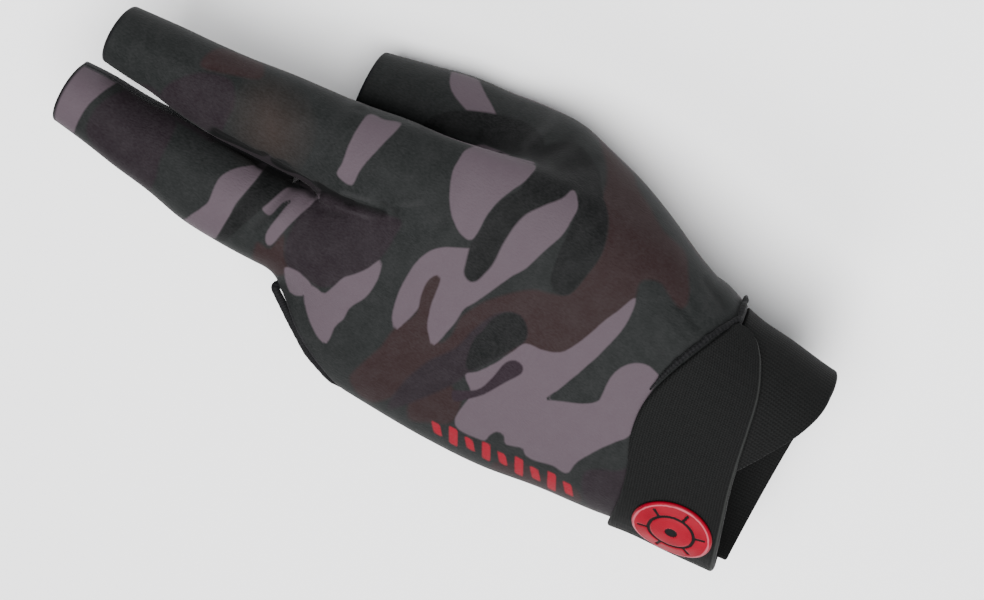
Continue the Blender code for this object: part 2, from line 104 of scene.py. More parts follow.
@dataclass(frozen=True)
class Tube:
    """A tube of oval sections that stand square to Y.

    rows holds y, centre x, centre z, half width and half depth for each section, and
    end_depth is the share of a point's depth inside that still counts past an end.
    """

    rows: Array
    end_depth: float = 0.3

    def section(self, y: Array) -> list[Array]:
        """Centre x, centre z, half width and half depth at each y."""
        return [smooth_interp(y, self.rows[:, 0], self.rows[:, i]) for i in (1, 2, 3, 4)]

    def distance(self, points: Array) -> Array:
        """Distance to the tube.

        The oval's own measure is one on its wall. Less one, over its slope, it is close to
        the true distance near the wall. Past an end it turns into the distance to the rim.

        Args:
            points: any array of points.

        Returns:
            One distance a point, negative inside.
        """
        x, y, z = points[..., 0], points[..., 1], points[..., 2]
        first, last = self.rows[0, 0], self.rows[-1, 0]
        side, lift, half_width, half_depth = self.section(np.clip(y, first, last))
        across, up = (x - side) / half_width, (z - lift) / half_depth
        reach = np.sqrt(across**2 + up**2) + 1e-9
        slope = np.sqrt((across / half_width) ** 2 + (up / half_depth) ** 2) + 1e-9
        away = reach * (reach - 1) / slope
        past = np.maximum(np.maximum(y - last, first - y), 0)
        outside = np.sqrt(np.maximum(away, 0) ** 2 + past**2)
        return np.where(past > 0, outside + np.minimum(away, 0) * self.end_depth, away)

    def ring(self, y: Array, degrees: Array) -> Array:
        """Points of the sections: the centre plus half width by cosine and half depth by sine."""
        side, lift, half_width, half_depth = self.section(y)
        angle = np.radians(degrees)
        x, z = side + half_width * np.cos(angle), lift + half_depth * np.sin(angle)
        return np.stack([x, y + 0 * angle, z], -1)


class Sleeve(Enum):
    """The sleeves, in the order of the panels' columns."""

    THUMB = 0
    INDEX = 1
    MIDDLE = 2


@dataclass(frozen=True)
class GloveForm:
    """The form that the cloth lies on, from the same named sizes and shares as the CAD.

    A row of a table holds y, centre x, centre z, half width and half depth as shares of the
    length, the breadth, the depth and half of both. wrist_rows take half the wrist's breadth
    and depth, and a sleeve's rows take its own length and half its width. sleeve_sizes holds
    each sleeve's start, length and width. probe is the half step for slopes, pace the share
    of the way that one move takes, and least_slope keeps a move short where slopes cancel.
    """

    breadth: float = 0.0836
    depth: float = 0.030
    length: float = 0.112
    wrist_breadth: float = 0.0670
    wrist_depth: float = 0.0400
    web_fillet: float = 0.007
    thumb_fillet: float = 0.018
    sleeve_sizes: tuple = ((0.0, 0.112, 0.0216), (0.112, 0.060, 0.0217), (0.112, 0.066, 0.0237))
    wrist_rows: tuple = (
        (-0.30, -0.010, 0.00, 0.895, 1.02),
        (-0.20, -0.006, 0.00, 0.915, 1.02),
        (-0.07, 0.008, 0.00, 0.965, 1.01),
        (0.035, 0.016, 0.00, 0.990, 1.00),
    )
    palm_rows: tuple = (
        (0.13, 0.016, 0.00, 0.830, 1.26),
        (0.27, 0.024, 0.00, 0.880, 1.16),
        (0.40, 0.034, 0.00, 0.950, 1.07),
        (0.54, 0.050, 0.00, 0.985, 1.00),
        (0.70, 0.050, 0.00, 0.950, 0.92),
        (0.81, 0.047, 0.01, 0.905, 0.82),
        (0.91, 0.046, 0.02, 0.850, 0.66),
        (0.98, 0.046, 0.02, 0.780, 0.40),
    )
    sleeve_rows: tuple = (
        (
            (0.12, 0.250, -0.16, 0.95, 0.95),
            (0.27, 0.358, -0.37, 1.13, 1.10),
            (0.36, 0.402, -0.50, 1.16, 1.16),
            (0.45, 0.440, -0.61, 1.10, 1.12),
            (0.53, 0.462, -0.71, 1.07, 1.09),
            (0.62, 0.448, -0.86, 1.01, 1.03),
            (0.71, 0.424, -0.95, 0.99, 1.00),
            (0.80, 0.415, -0.96, 0.99, 0.99),
            (0.90, 0.392, -0.97, 0.95, 0.94),
            (1.06, 0.362, -0.96, 0.87, 0.84),
        ),
        (
            (-0.50, 0.305, 0.05, 1.00, 0.90),
            (-0.28, 0.330, -0.02, 1.07, 1.04),
            (-0.03, 0.320, -0.07, 1.07, 1.02),
            (0.13, 0.312, -0.08, 1.09, 0.98),
            (0.30, 0.310, -0.08, 1.05, 0.96),
            (0.47, 0.301, -0.10, 1.00, 0.93),
            (0.63, 0.300, -0.13, 0.93, 0.88),
            (0.80, 0.305, -0.17, 0.82, 0.82),
            (0.90, 0.304, -0.19, 0.78, 0.78),
            (1.08, 0.304, -0.23, 0.69, 0.69),
        ),
        (
            (-0.48, 0.045, 0.10, 0.92, 0.86),
            (-0.26, 0.028, 0.05, 0.98, 0.96),
            (-0.03, 0.018, 0.03, 1.00, 0.96),
            (0.12, 0.019, 0.02, 1.04, 0.93),
            (0.27, 0.021, 0.00, 1.05, 0.90),
            (0.42, 0.025, -0.02, 1.00, 0.88),
            (0.58, 0.043, -0.05, 0.91, 0.84),
            (0.73, 0.051, -0.08, 0.83, 0.81),
            (0.88, 0.066, -0.11, 0.78, 0.76),
            (1.08, 0.075, -0.15, 0.68, 0.68),
        ),
    )
    probe: float = 2e-5
    pace: float = 0.8
    least_slope: float = 0.2
    palm: Tube = field(init=False)
    sleeves: tuple = field(init=False)

    def __post_init__(self) -> None:
        """Turns the share tables into tubes in metres."""
        wrist = np.array(self.wrist_rows) * [
            self.length, self.breadth, self.depth, self.wrist_breadth / 2, self.wrist_depth / 2
        ]
        palm = np.array(self.palm_rows) * [
            self.length, self.breadth, self.depth, self.breadth / 2, self.depth / 2
        ]
        object.__setattr__(self, "palm", Tube(np.vstack([wrist, palm])))
        sleeves = []
        for rows, (start, length, width) in zip(self.sleeve_rows, self.sleeve_sizes):
            scaled = np.array(rows) * [length, self.breadth, self.depth, width / 2, width / 2]
            scaled[:, 0] += start
            sleeves.append(Tube(scaled))
        object.__setattr__(self, "sleeves", tuple(sleeves))

    @staticmethod
    def soft_min(first: Array, second: Array, fillet: float) -> Array:
        """The smaller distance, less a quarter of the fillet by the square of their likeness."""
        near = np.maximum(fillet - np.abs(first - second), 0) / fillet
        return np.minimum(first, second) - near**2 * fillet / 4

    def distance(self, points: Array) -> Array:
        """Distance to the whole form: every sleeve joins the palm with a fillet."""
        palm = self.palm.distance(points)
        thumb, index, middle = (tube.distance(points) for tube in self.sleeves)
        fingers = self.soft_min(palm, np.minimum(index, middle), self.web_fillet)
        return np.minimum(self.soft_min(palm, thumb, self.thumb_fillet), fingers)

    def slope(self, points: Array) -> Array:
        """The outward slope of the distance, from central differences."""
        steps = np.eye(3) * self.probe
        parts = [self.distance(points + s) - self.distance(points - s) for s in steps]
        return np.stack(parts, -1) / (2 * self.probe)

    def laid(
        self, points: Array, lift: Array | float = 0.0, steps: int = 14, level: bool = False
    ) -> Array:
        """Moves points along the slope until they stand lift above the form.

        Args:
            points: where they start.
            lift: the height above the form.
            steps: how many moves, each of them pace of the distance that is left.
            level: keeps each point's y.

        Returns:
            The moved points.
        """
        for _ in range(steps):
            slope = self.slope(points) * ([1, 0, 1] if level else [1, 1, 1])
            size = np.maximum((slope**2).sum(-1, keepdims=True), self.least_slope)
            points = points - self.pace * (self.distance(points) - lift)[..., None] * slope / size
        return points

    def on_wrist(self, degrees: Array, y: Array, lift: Array | float) -> Array:
        """Points round the wrist at these angles and y, that high above the form."""
        return self.laid(self.palm.ring(y, degrees), lift, level=True)


@dataclass(frozen=True)
class Chart:
    """The flat chart that the print is drawn on, seen from the middle of its own view.

    distance is how far the view stands off, and centre is the chart's middle in metres.
    """

    distance: float = 0.683
    centre: tuple[float, float] = (-0.0520, 0.0325)

    @property
    def right(self) -> Array:
        """The chart's own x axis in the frame."""
        across = np.array([np.cos(TILT), 0.0, -np.sin(TILT)])
        return np.sin(TURN) * across - np.cos(TURN) * np.array([0.0, 1.0, 0.0])

    @property
    def up(self) -> Array:
        """The chart's own y axis in the frame."""
        across = np.array([np.cos(TILT), 0.0, -np.sin(TILT)])
        return np.cos(TURN) * across + np.sin(TURN) * np.array([0.0, 1.0, 0.0])

    @property
    def out(self) -> Array:
        """The direction from the chart to its viewer."""
        return np.array([np.sin(TILT), 0.0, np.cos(TILT)])

    @property
    def eye(self) -> Array:
        """Where the chart is seen from."""
        return self.centre[0] * self.right + self.centre[1] * self.up + self.distance * self.out

    def places(self, points: Array) -> Array:
        """Chart coordinates in millimetres: across the hand, then along the fingers.

        A point moves away from the chart's middle by distance over distance less height.
        """
        scale = self.distance / (self.distance - points @ self.out)
        a = self.centre[0] + (points @ self.right - self.centre[0]) * scale
        b = self.centre[1] + (points @ self.up - self.centre[1]) * scale
        across = np.sin(TURN) * a + np.cos(TURN) * b
        along = np.sin(TURN) * b - np.cos(TURN) * a
        return np.stack([across, along], -1) / MM


class Dye(Enum):
    """The print's colours in the order in which they are laid down."""

    MAROON = "maroon"
    PLUM = "plum"
    BROWN = "brown"
    LILAC = "lilac"
    NIGHT = "night"
    OVERPLUM = "overplum"
    RED = "red"


@dataclass(frozen=True)
class Patch:
    """One closed shape of the print.

    outline holds chart coordinates in millimetres, and rounding is how many times each span
    is cut into a smooth curve.
    """

    dye: Dye
    outline: tuple[tuple[float, float], ...]
    rounding: int = 5

    def curve(self) -> Array:
        """The outline as a closed Catmull-Rom curve: each span from its four nearest points."""
        p = np.array(self.outline)
        before, after, later = np.roll(p, 1, 0), np.roll(p, -1, 0), np.roll(p, -2, 0)
        t = (np.arange(self.rounding) / self.rounding)[None, :, None]
        a, b, c, d = (part[:, None] for part in (before, p, after, later))
        curve = 2 * b + (c - a) * t + (2 * a - 5 * b + 4 * c - d) * t**2
        return (0.5 * (curve + (3 * b - a - 3 * c + d) * t**3)).reshape(-1, 2)

    def depth(self, places: Array) -> Array:
        """How far each place is inside the outline, in millimetres, negative outside.

        It is the least distance to the outline's edges, with its sign from the count of
        edges that a ray along the first coordinate crosses.
        """
        start = self.curve()
        run = np.roll(start, -1, 0) - start
        rel = places[:, None] - start[None]
        share = np.clip((rel * run).sum(-1) / ((run**2).sum(-1) + 1e-9), 0, 1)
        gap = np.sqrt(((rel - share[..., None] * run) ** 2).sum(-1)).min(1)
        low, high = start[:, 1], (start + run)[:, 1]
        level = places[:, 1:2]
        spans = (low[None] > level) != (high[None] > level)
        rise = np.where(np.abs(run[:, 1]) < 1e-9, 1e-9, run[:, 1])
        cross = start[:, 0] + (level - low) / rise * run[:, 0]
        inside = (spans & (places[:, :1] < cross)).sum(1) % 2 == 1
        return np.where(inside, gap, -gap)


@dataclass(frozen=True)
class Camouflage:
    """The print of the back panel: outlines of listed points, in chart millimetres.

    The bars stand along bar_row, from its first end to its last. bar_tall holds half the
    height of the short and the long ones, bar_half half their width, and bar_lean how far
    each half rises. Past margin from a patch no depth is measured, and beyond stands for it.
    """

    patches: tuple[Patch, ...] = (
        Patch(Dye.MAROON, (
            (4.4, 78.7), (7.0, 75.4), (4.4, 73.4), (-2.4, 72.4), (-9.0, 68.5), (-6.0, 66.3), (-0.8, 66.0),
            (4.2, 63.2), (8.3, 59.5), (13.0, 53.3), (14.3, 48.3), (16.3, 44.2), (22.2, 42.5),
            (28.4, 41.5), (34.2, 42.4), (38.3, 44.4), (41.4, 47.3), (45.6, 48.2), (50.1, 50.5),
            (54.1, 54.1), (54.5, 51.1), (51.9, 46.8), (50.8, 43.4), (48.0, 40.9), (44.8, 35.9),
            (40.8, 30.0), (38.5, 23.2), (34.8, 20.3), (27.9, 16.9), (25.2, 17.8), (26.8, 21.5),
            (28.7, 24.7), (28.2, 27.9), (26.2, 29.7), (20.3, 29.0), (12.0, 33.0), (7.0, 35.0),
            (1.1, 38.5), (-1.0, 44.3), (-3.2, 50.7), (-8.0, 57.0), (-12.0, 62.0), (-17.8, 66.5),
            (-29.4, 76.0), (-27.5, 84.0), (-22.5, 83.4), (-16.7, 81.0), (-10.8, 79.8), (-5.2, 76.7),
            (0.0, 78.0),
        )),
        Patch(Dye.MAROON, (
            (-21.9, 67.2), (-18.7, 64.8), (-17.1, 61.1), (-18.1, 59.6), (-19.8, 56.8), (-24.5, 56.3),
            (-26.9, 58.3), (-27.9, 61.3), (-29.5, 66.5), (-25.4, 68.5),
        )),
        Patch(Dye.MAROON, (
            (-30.5, 43.1), (-28.1, 39.3), (-27.0, 34.9), (-27.4, 29.7), (-26.7, 22.1), (-29.1, 19.0),
            (-31.1, 23.0), (-34.0, 32.2), (-36.0, 40.4),
        )),
        Patch(Dye.MAROON, (
            (-6.4, 120.0), (-6.4, 116.5), (-1.7, 115.2), (-6.2, 112.5), (-9.2, 109.6), (-11.8, 112.5),
            (-11.2, 118.6),
        )),
        Patch(Dye.MAROON, (
            (27.0, 152.0), (33.0, 150.0), (35.5, 140.0), (31.0, 137.0), (28.5, 144.0),
        )),
        Patch(Dye.PLUM, (
            (11.5, 111.5), (12.5, 107.0), (12.7, 101.2), (14.0, 93.7), (14.1, 89.9), (10.7, 89.7),
            (6.5, 90.0), (1.6, 91.1), (-1.5, 93.1), (-5.0, 96.7), (-7.8, 98.2), (-9.5, 100.9),
            (-9.4, 103.9), (-8.7, 106.6), (-9.1, 109.9), (-6.2, 112.5), (-2.2, 113.8), (4.4, 113.5),
            (8.6, 112.1),
        )),
        Patch(Dye.PLUM, (
            (3.1, 59.1), (5.4, 56.1), (5.9, 52.8), (3.7, 50.0), (0.7, 49.1), (-2.6, 51.0), (-7.3, 54.6),
            (-11.7, 57.7), (-17.3, 60.8), (-24.3, 66.8), (-29.5, 72.5), (-22.9, 72.2), (-14.9, 69.0),
            (-8.4, 64.0), (-2.7, 62.1),
        )),
        Patch(Dye.PLUM, (
            (-22.3, 21.3), (-19.9, 18.5), (-18.4, 14.3), (-15.6, 10.7), (-21.6, 8.7), (-33.0, 7.0),
            (-34.2, 13.0), (-29.9, 16.6), (-26.6, 19.9),
        )),
        Patch(Dye.PLUM, (
            (3.3, 171.2), (7.1, 170.7), (12.0, 167.8), (17.0, 161.4), (12.6, 152.2), (8.6, 150.9),
            (1.5, 150.9), (-3.8, 149.8), (-9.7, 151.0), (-7.0, 159.5), (-2.6, 167.7), (0.0, 170.7),
        )),
        Patch(Dye.PLUM, (
            (18.0, 157.8), (22.2, 155.2), (25.7, 151.1), (27.3, 146.0), (26.6, 142.7), (22.0, 140.2),
            (17.9, 140.2), (11.6, 140.5), (11.7, 145.2), (12.0, 150.6), (12.5, 156.7),
        )),
        Patch(Dye.BROWN, (
            (23.7, 136.6), (28.2, 134.7), (28.4, 130.7), (25.7, 125.3), (20.0, 122.5), (14.6, 124.0),
            (13.8, 129.4), (16.9, 133.9),
        )),
        Patch(Dye.LILAC, (
            (-10.9, 79.4), (-8.7, 81.4), (-5.6, 82.3), (-2.3, 82.8), (2.4, 82.7), (6.9, 82.0),
            (10.6, 80.3), (13.1, 77.4), (15.6, 71.6), (18.0, 68.0), (24.3, 66.0), (29.0, 64.0),
            (34.0, 60.1), (38.0, 56.3), (40.1, 54.9), (38.6, 52.9), (36.3, 51.7), (33.9, 51.8),
            (29.6, 52.1), (26.1, 53.3), (21.7, 55.2), (17.4, 56.7), (13.9, 59.1), (10.0, 61.2),
            (4.3, 64.4), (1.1, 66.3), (-3.4, 67.0), (-10.0, 69.1), (-8.4, 71.3), (-6.2, 72.8),
            (-1.6, 74.1), (4.6, 74.6), (6.0, 75.4), (5.7, 76.4), (4.1, 77.4), (2.0, 77.6), (-0.8, 77.3),
            (-4.0, 76.7), (-8.2, 78.1),
        )),
        Patch(Dye.LILAC, (
            (40.0, 80.6), (37.2, 83.3), (34.7, 83.8), (31.1, 83.9), (27.0, 82.7), (23.2, 80.9),
            (20.3, 78.6), (18.1, 75.8), (17.3, 73.3), (18.1, 71.9), (20.4, 71.6), (24.9, 71.4),
            (29.6, 70.2), (33.3, 68.5), (37.3, 66.4), (41.4, 65.8), (41.1, 69.4), (40.7, 76.2),
        )),
        Patch(Dye.LILAC, (
            (-10.1, 102.4), (-10.5, 99.6), (-8.0, 98.1), (-5.1, 96.9), (-2.9, 94.8), (-0.3, 92.5),
            (3.3, 90.3), (0.9, 89.3), (-1.8, 88.9), (-4.8, 89.2), (-7.6, 90.1), (-10.6, 91.9),
            (-14.0, 92.3), (-16.8, 93.3), (-21.8, 93.7), (-18.7, 99.2), (-13.1, 103.8),
        )),
        Patch(Dye.LILAC, (
            (-9.1, 111.1), (-8.4, 107.9), (-8.9, 105.9), (-10.3, 102.9), (-13.0, 103.6), (-13.9, 107.3),
        )),
        Patch(Dye.LILAC, (
            (17.6, 109.5), (16.8, 105.1), (21.3, 104.8), (27.5, 103.2), (35.2, 100.7), (36.1, 101.5),
            (35.2, 105.0), (34.8, 108.8), (31.7, 109.8), (28.1, 110.1), (24.7, 110.1), (20.7, 109.6),
        )),
        Patch(Dye.LILAC, (
            (2.1, 123.0), (4.4, 121.8), (8.4, 120.2), (10.5, 117.7), (11.9, 111.9), (8.3, 112.0),
            (4.4, 113.5), (0.1, 115.0), (-5.7, 116.8), (-3.6, 119.0), (3.5, 117.8), (6.9, 116.8),
            (5.4, 118.7), (1.1, 120.2),
        )),
        Patch(Dye.LILAC, (
            (-13.3, 58.8), (-11.0, 56.1), (-7.0, 53.1), (-2.9, 50.7), (0.3, 48.7), (0.7, 44.5),
            (1.6, 41.0), (3.6, 38.5), (8.5, 35.8), (13.5, 33.7), (18.0, 31.4), (22.6, 29.1), (19.0, 28.2),
            (14.3, 28.4), (9.8, 29.6), (4.3, 31.5), (-1.0, 33.7), (-6.2, 36.1), (-9.9, 38.1),
            (-9.2, 35.6), (-7.1, 29.7), (-4.9, 26.3), (-2.7, 25.9), (1.3, 25.9), (4.7, 25.0), (7.3, 22.8),
            (8.8, 19.6), (8.4, 16.9), (7.1, 15.0), (2.0, 15.3), (-2.4, 15.1), (-6.7, 14.8), (-9.6, 15.6),
            (-13.2, 18.8), (-17.1, 21.9), (-20.7, 24.1), (-24.3, 25.3), (-24.2, 29.3), (-25.0, 33.9),
            (-24.8, 36.5), (-23.5, 38.1), (-24.5, 42.1), (-22.7, 43.5), (-22.7, 45.5), (-24.3, 46.7),
            (-26.0, 47.3), (-26.4, 50.1), (-26.4, 54.1), (-24.9, 56.1), (-22.0, 56.2), (-18.4, 55.5),
            (-16.3, 55.8),
        )),
        Patch(Dye.LILAC, (
            (-3.2, 178.8), (5.1, 180.4), (10.0, 179.9), (14.0, 178.4), (17.3, 174.0), (15.8, 168.6),
            (11.1, 170.9), (6.7, 172.8), (2.2, 173.5), (-3.9, 173.6),
        )),
        Patch(Dye.LILAC, (
            (-13.7, 141.2), (-9.0, 138.8), (-5.7, 136.9), (-2.7, 135.5), (0.8, 135.7), (4.4, 135.4),
            (7.9, 133.0), (10.5, 129.6), (14.0, 126.5), (8.6, 126.9), (4.6, 127.9), (-0.1, 129.1),
            (-4.6, 129.2), (-13.0, 131.3),
        )),
        Patch(Dye.LILAC, (
            (49.0, 93.0), (54.0, 95.0), (57.0, 92.0), (52.0, 85.0), (47.0, 78.5), (43.0, 76.0),
            (42.0, 79.5), (45.0, 84.5),
        )),
        Patch(Dye.NIGHT, (
            (14.9, 71.6), (17.6, 71.8), (20.9, 71.2), (25.1, 71.0), (29.8, 69.8), (34.0, 67.1),
            (38.7, 65.9), (41.3, 65.4), (45.8, 66.8), (51.0, 60.2), (48.0, 52.0), (44.0, 49.0),
            (41.4, 47.3), (40.5, 51.0), (40.1, 54.9), (37.0, 56.3), (32.8, 60.1), (29.0, 62.9),
            (24.3, 64.2), (19.4, 64.7), (14.7, 64.7), (11.4, 65.5), (9.1, 66.4), (8.1, 68.0), (9.2, 70.1),
            (11.7, 70.9),
        )),
        Patch(Dye.NIGHT, (
            (18.9, 50.5), (24.8, 51.2), (29.9, 51.3), (36.5, 51.7), (39.2, 53.1), (42.0, 52.5),
            (41.4, 47.3), (38.3, 44.4), (33.6, 42.4), (28.4, 41.5), (22.2, 42.5), (16.3, 44.2),
            (15.0, 47.5), (16.5, 49.6),
        )),
        Patch(Dye.NIGHT, (
            (-4.6, 129.2), (0.1, 128.6), (5.3, 127.6), (14.1, 125.1), (14.4, 120.5), (11.5, 118.4),
            (8.5, 119.8), (4.0, 121.7), (-1.1, 123.9), (-7.7, 126.6), (-12.1, 129.4),
        )),
        Patch(Dye.NIGHT, (
            (-1.6, 59.7), (2.4, 58.7), (5.4, 56.1), (5.9, 52.8), (4.2, 50.2), (1.2, 49.1), (-1.9, 50.6),
            (-5.7, 53.4), (-10.3, 56.8), (-11.9, 59.3), (-7.5, 60.6), (-3.7, 60.6),
        )),
        Patch(Dye.NIGHT, (
            (37.0, 96.0), (40.5, 84.0), (42.0, 68.0), (47.0, 66.0), (50.0, 74.0), (45.0, 90.0),
        )),
        Patch(Dye.OVERPLUM, (
            (-18.3, 60.0), (-17.2, 57.6), (-15.0, 54.2), (-11.2, 52.5), (-6.6, 51.3), (-4.6, 49.3),
            (-5.0, 46.9), (-7.0, 46.4), (-10.5, 48.9), (-14.0, 51.2), (-16.3, 53.0), (-18.4, 55.5),
            (-20.5, 58.4),
        )),
    )
    bars: int = 9
    bar_row: tuple[tuple[float, float], tuple[float, float]] = ((-27.6, 21.0), (-28.6, 61.5))
    bar_tall: tuple[float, float] = (1.2, 1.9)
    bar_half: float = 1.15
    bar_lean: float = 0.9
    margin: float = 5.0
    beyond: float = -9.0

    def red_bars(self) -> list[Patch]:
        """Plain slanted bars in a row along the little-finger side, long and short by turns."""
        (x0, y0), (x1, y1) = self.bar_row
        half, lean = self.bar_half, self.bar_lean
        shapes = []
        for i in range(self.bars):
            share = (i + 0.5) / self.bars
            x, y = x0 + (x1 - x0) * share, y0 + (y1 - y0) * share
            tall = self.bar_tall[i % 2]
            low = ((x - tall, y - half - lean), (x + tall, y - half + lean))
            high = ((x + tall, y + half + lean), (x - tall, y + half - lean))
            shapes.append(Patch(Dye.RED, (*low, *high), 1))
        return shapes

    def depths(self, places: Array) -> dict[Dye, Array]:
        """How far inside its colour each place is, in millimetres, for every colour."""
        result = {dye: np.full(len(places), self.beyond) for dye in Dye}
        for patch in [*self.patches, *self.red_bars()]:
            curve = np.array(patch.outline)
            low, high = curve.min(0) - self.margin, curve.max(0) + self.margin
            near = ((places > low) & (places < high)).all(1)
            depth = patch.depth(places[near])
            result[patch.dye][near] = np.maximum(result[patch.dye][near], depth)
        return result


@dataclass(frozen=True)
class Crease:
    """A fold of the cloth: a ridge or, with a negative height, a hollow along a chart line."""

    start: tuple[float, float]
    end: tuple[float, float]
    width: float
    height: float

    def lift(self, places: Array) -> Array:
        """Height in millimetres: a bell across the line that fades out past its ends."""
        start, end = np.array(self.start), np.array(self.end)
        run = end - start
        share = (places - start) @ run / (run @ run)
        gap = np.linalg.norm(places - start - np.clip(share, 0, 1)[:, None] * run, axis=1)
        return self.height * np.exp(-((gap / self.width) ** 2))


@dataclass(frozen=True)
class PanelCut:
    """How one panel is laid out: its column angles on the palm and its sleeves' seam angles."""

    node: str
    low_angles: tuple[float, ...]
    high_angles: tuple[float, ...]
    seams: tuple[tuple[float, float], ...]


BACK_CUT = PanelCut(
    "back_panel",
    (-60.0, 15.0, 72.0, 114.0, 200.0),
    (-60.0, -35.0, 72.0, 114.0, 200.0),
    ((-60.0, 120.0), (-35.0, 180.0), (0.0, 180.0)),
)
PALM_CUT = PanelCut(
    "palm_panel",
    (-60.0, -84.0, -98.0, -118.0, -160.0),
    (-60.0, -35.0, -72.0, -114.0, -160.0),
    ((-60.0, -240.0), (-35.0, -180.0), (0.0, -180.0)),
)


@dataclass
class PanelGrid:
    """A panel as grids over the form: the body, then a half tube for each sleeve.

    The coarse grid is the CAD's own. It is drawn even on the form, and each of its cells is
    then cut into fine cells that are laid on the form again. knuckle_start is the share of
    the length past which the palm's oval turns into the sleeves', rake how far a sleeve's
    rim leans, nudge keeps a column on its own side of a seam, and points that agree to
    join_digits decimals of a metre are one point.
    """

    form: GloveForm
    cut: PanelCut
    tube_cells: int = 8
    side_cells: int = 5
    body_rows: int = 13
    finger_rows: int = 13
    fine: int = 8
    wrist_edge: float = 0.004
    thumb_crotch: float = 0.066
    thumb_drop: float = 0.004
    crotch_drop: float = 0.003
    side_drop: float = 0.038
    knuckle_start: float = 0.72
    rake: float = 0.0016
    nudge: float = 1e-6
    join_digits: int = 7
    points: Array = field(init=False)
    faces: Array = field(init=False)
    rim: Array = field(init=False)

    def __post_init__(self) -> None:
        """Builds the coarse grid, draws it even and refines it."""
        points, grids, fixed = self.coarse()
        faces = np.concatenate([grid_faces(grid) for grid in grids])
        points = self.evened(points, faces, fixed)
        self.rim = points[grids[0][-1, 3 * self.tube_cells :]]
        self.refine(points, grids)

    @property
    def knots(self) -> Array:
        """Column numbers of the thumb seam, thumb valley, webs and little-finger side."""
        c = self.tube_cells
        return np.array([0, c, 2 * c, 3 * c, 3 * c + self.side_cells], float)

    def web_line(self, column: Array) -> Array:
        """y of the line where the sleeves and the open side begin, at each column."""
        crotch, side = self.thumb_crotch, self.form.length - self.crotch_drop
        ends = [crotch - self.thumb_drop, crotch, self.form.length, side, side - self.side_drop]
        return np.interp(column, self.knots, ends)

    def starts(self, column: Array, y: Array, run: Array) -> Array:
        """Where grid points start: on the palm's oval, blended into the sleeves' ovals.

        Args:
            column: the column number of each point.
            y: the place along the hand.
            run: 0 at the wrist to 1 at the web line.

        Returns:
            The points, close to the form.
        """
        cut, form = self.cut, self.form
        low = np.interp(column, self.knots, cut.low_angles)
        high = np.interp(column, self.knots, cut.high_angles)
        points = form.palm.ring(y, low + (high - low) * np.clip(y / self.thumb_crotch, 0, 1))
        up_palm = eased((y / form.length - self.knuckle_start) / (1 - self.knuckle_start))
        for sleeve, (start, end) in zip(Sleeve, cut.seams):
            share = (column - self.knots[sleeve.value]) / self.tube_cells
            inside = (share >= 0) & (share <= 1)
            own = form.sleeves[sleeve.value].ring(y, start + (end - start) * share)
            sharp = 1 + 2 * (sleeve is Sleeve.MIDDLE) * np.clip(share, 0, 1)
            weight = eased(run) if sleeve is Sleeve.THUMB else up_palm**sharp
            points = np.where(inside[..., None], points + weight[..., None] * (own - points), points)
        return points

    def coarse(self) -> tuple[Array, list[Array], list[int]]:
        """The CAD's grid: its points, its grids of point numbers and its fixed corners."""
        form, cells, knots = self.form, self.tube_cells, self.knots.astype(int)
        column, row = np.meshgrid(np.arange(knots[-1] + 1.0), np.arange(self.body_rows + 1.0))
        run = row / self.body_rows
        y = self.wrist_edge + (self.web_line(column) - self.wrist_edge) * run
        body = self.starts(column, y, run)
        for place in (1, 2):
            at = y[-1, knots[place]]
            before = form.sleeves[place - 1].ring(at, self.cut.seams[place - 1][1])
            after = form.sleeves[place].ring(at, self.cut.seams[place][0])
            body[-1, knots[place]] = (before + after) / 2
        numbers = np.arange(column.size).reshape(column.shape)
        grids, parts, fixed = [numbers], [body], [*numbers[0], numbers[-1, -1]]
        total = numbers.size
        along = (np.arange(1.0, self.finger_rows + 1) / self.finger_rows)[:, None]
        share = np.linspace(0, 1, cells + 1)
        for sleeve, (start, end) in zip(Sleeve, self.cut.seams):
            columns = slice(sleeve.value * cells, (sleeve.value + 1) * cells + 1)
            base, (begin, length, _) = body[-1, columns], form.sleeve_sizes[sleeve.value]
            rake = self.rake * np.sin(np.radians(start + (end - start) * share))
            y = base[:, 1] + (begin + length + rake - base[:, 1]) * along
            at = (sleeve.value + share) * cells + self.nudge * (1 - 2 * share) + 0 * y
            tube = self.starts(at, y, np.ones_like(y))
            own = total + np.arange(y.size).reshape(y.shape)
            total += y.size
            grids.append(np.vstack([numbers[-1:, columns], own]))
            parts.append(tube)
            fixed += [own[-1, 0], own[-1, -1], numbers[-1, columns][-1]]
        points = np.concatenate([part.reshape(-1, 3) for part in parts])
        points[numbers[0]] = form.laid(points[numbers[0]], level=True)
        return form.laid(points), grids, fixed

    def evened(self, points: Array, faces: Array, fixed: Sequence[int], steps: int = 40) -> Array:
        """Draws each point half way to the mean of its neighbours and back on the form.

        A border point's neighbours are those on the border, and fixed corners stay.
        """
        border = border_edges(faces)
        ends = np.stack([faces, np.roll(faces, -1, 1)], -1).reshape(-1, 2)
        inner = ends[~np.isin(ends[:, 0], border)]
        back = ends[~np.isin(ends[:, 1], border)][:, ::-1]
        pairs = np.concatenate([inner, back, border, border[:, ::-1]])
        pairs = pairs[~np.isin(pairs[:, 0], fixed)]
        count = np.maximum(np.bincount(pairs[:, 0], minlength=len(points)), 1)[:, None]
        for _ in range(steps):
            pull = np.zeros_like(points)
            np.add.at(pull, pairs[:, 0], points[pairs[:, 1]] - points[pairs[:, 0]])
            points = self.form.laid(points + 0.5 * pull / count, steps=2)
        return self.form.laid(points)

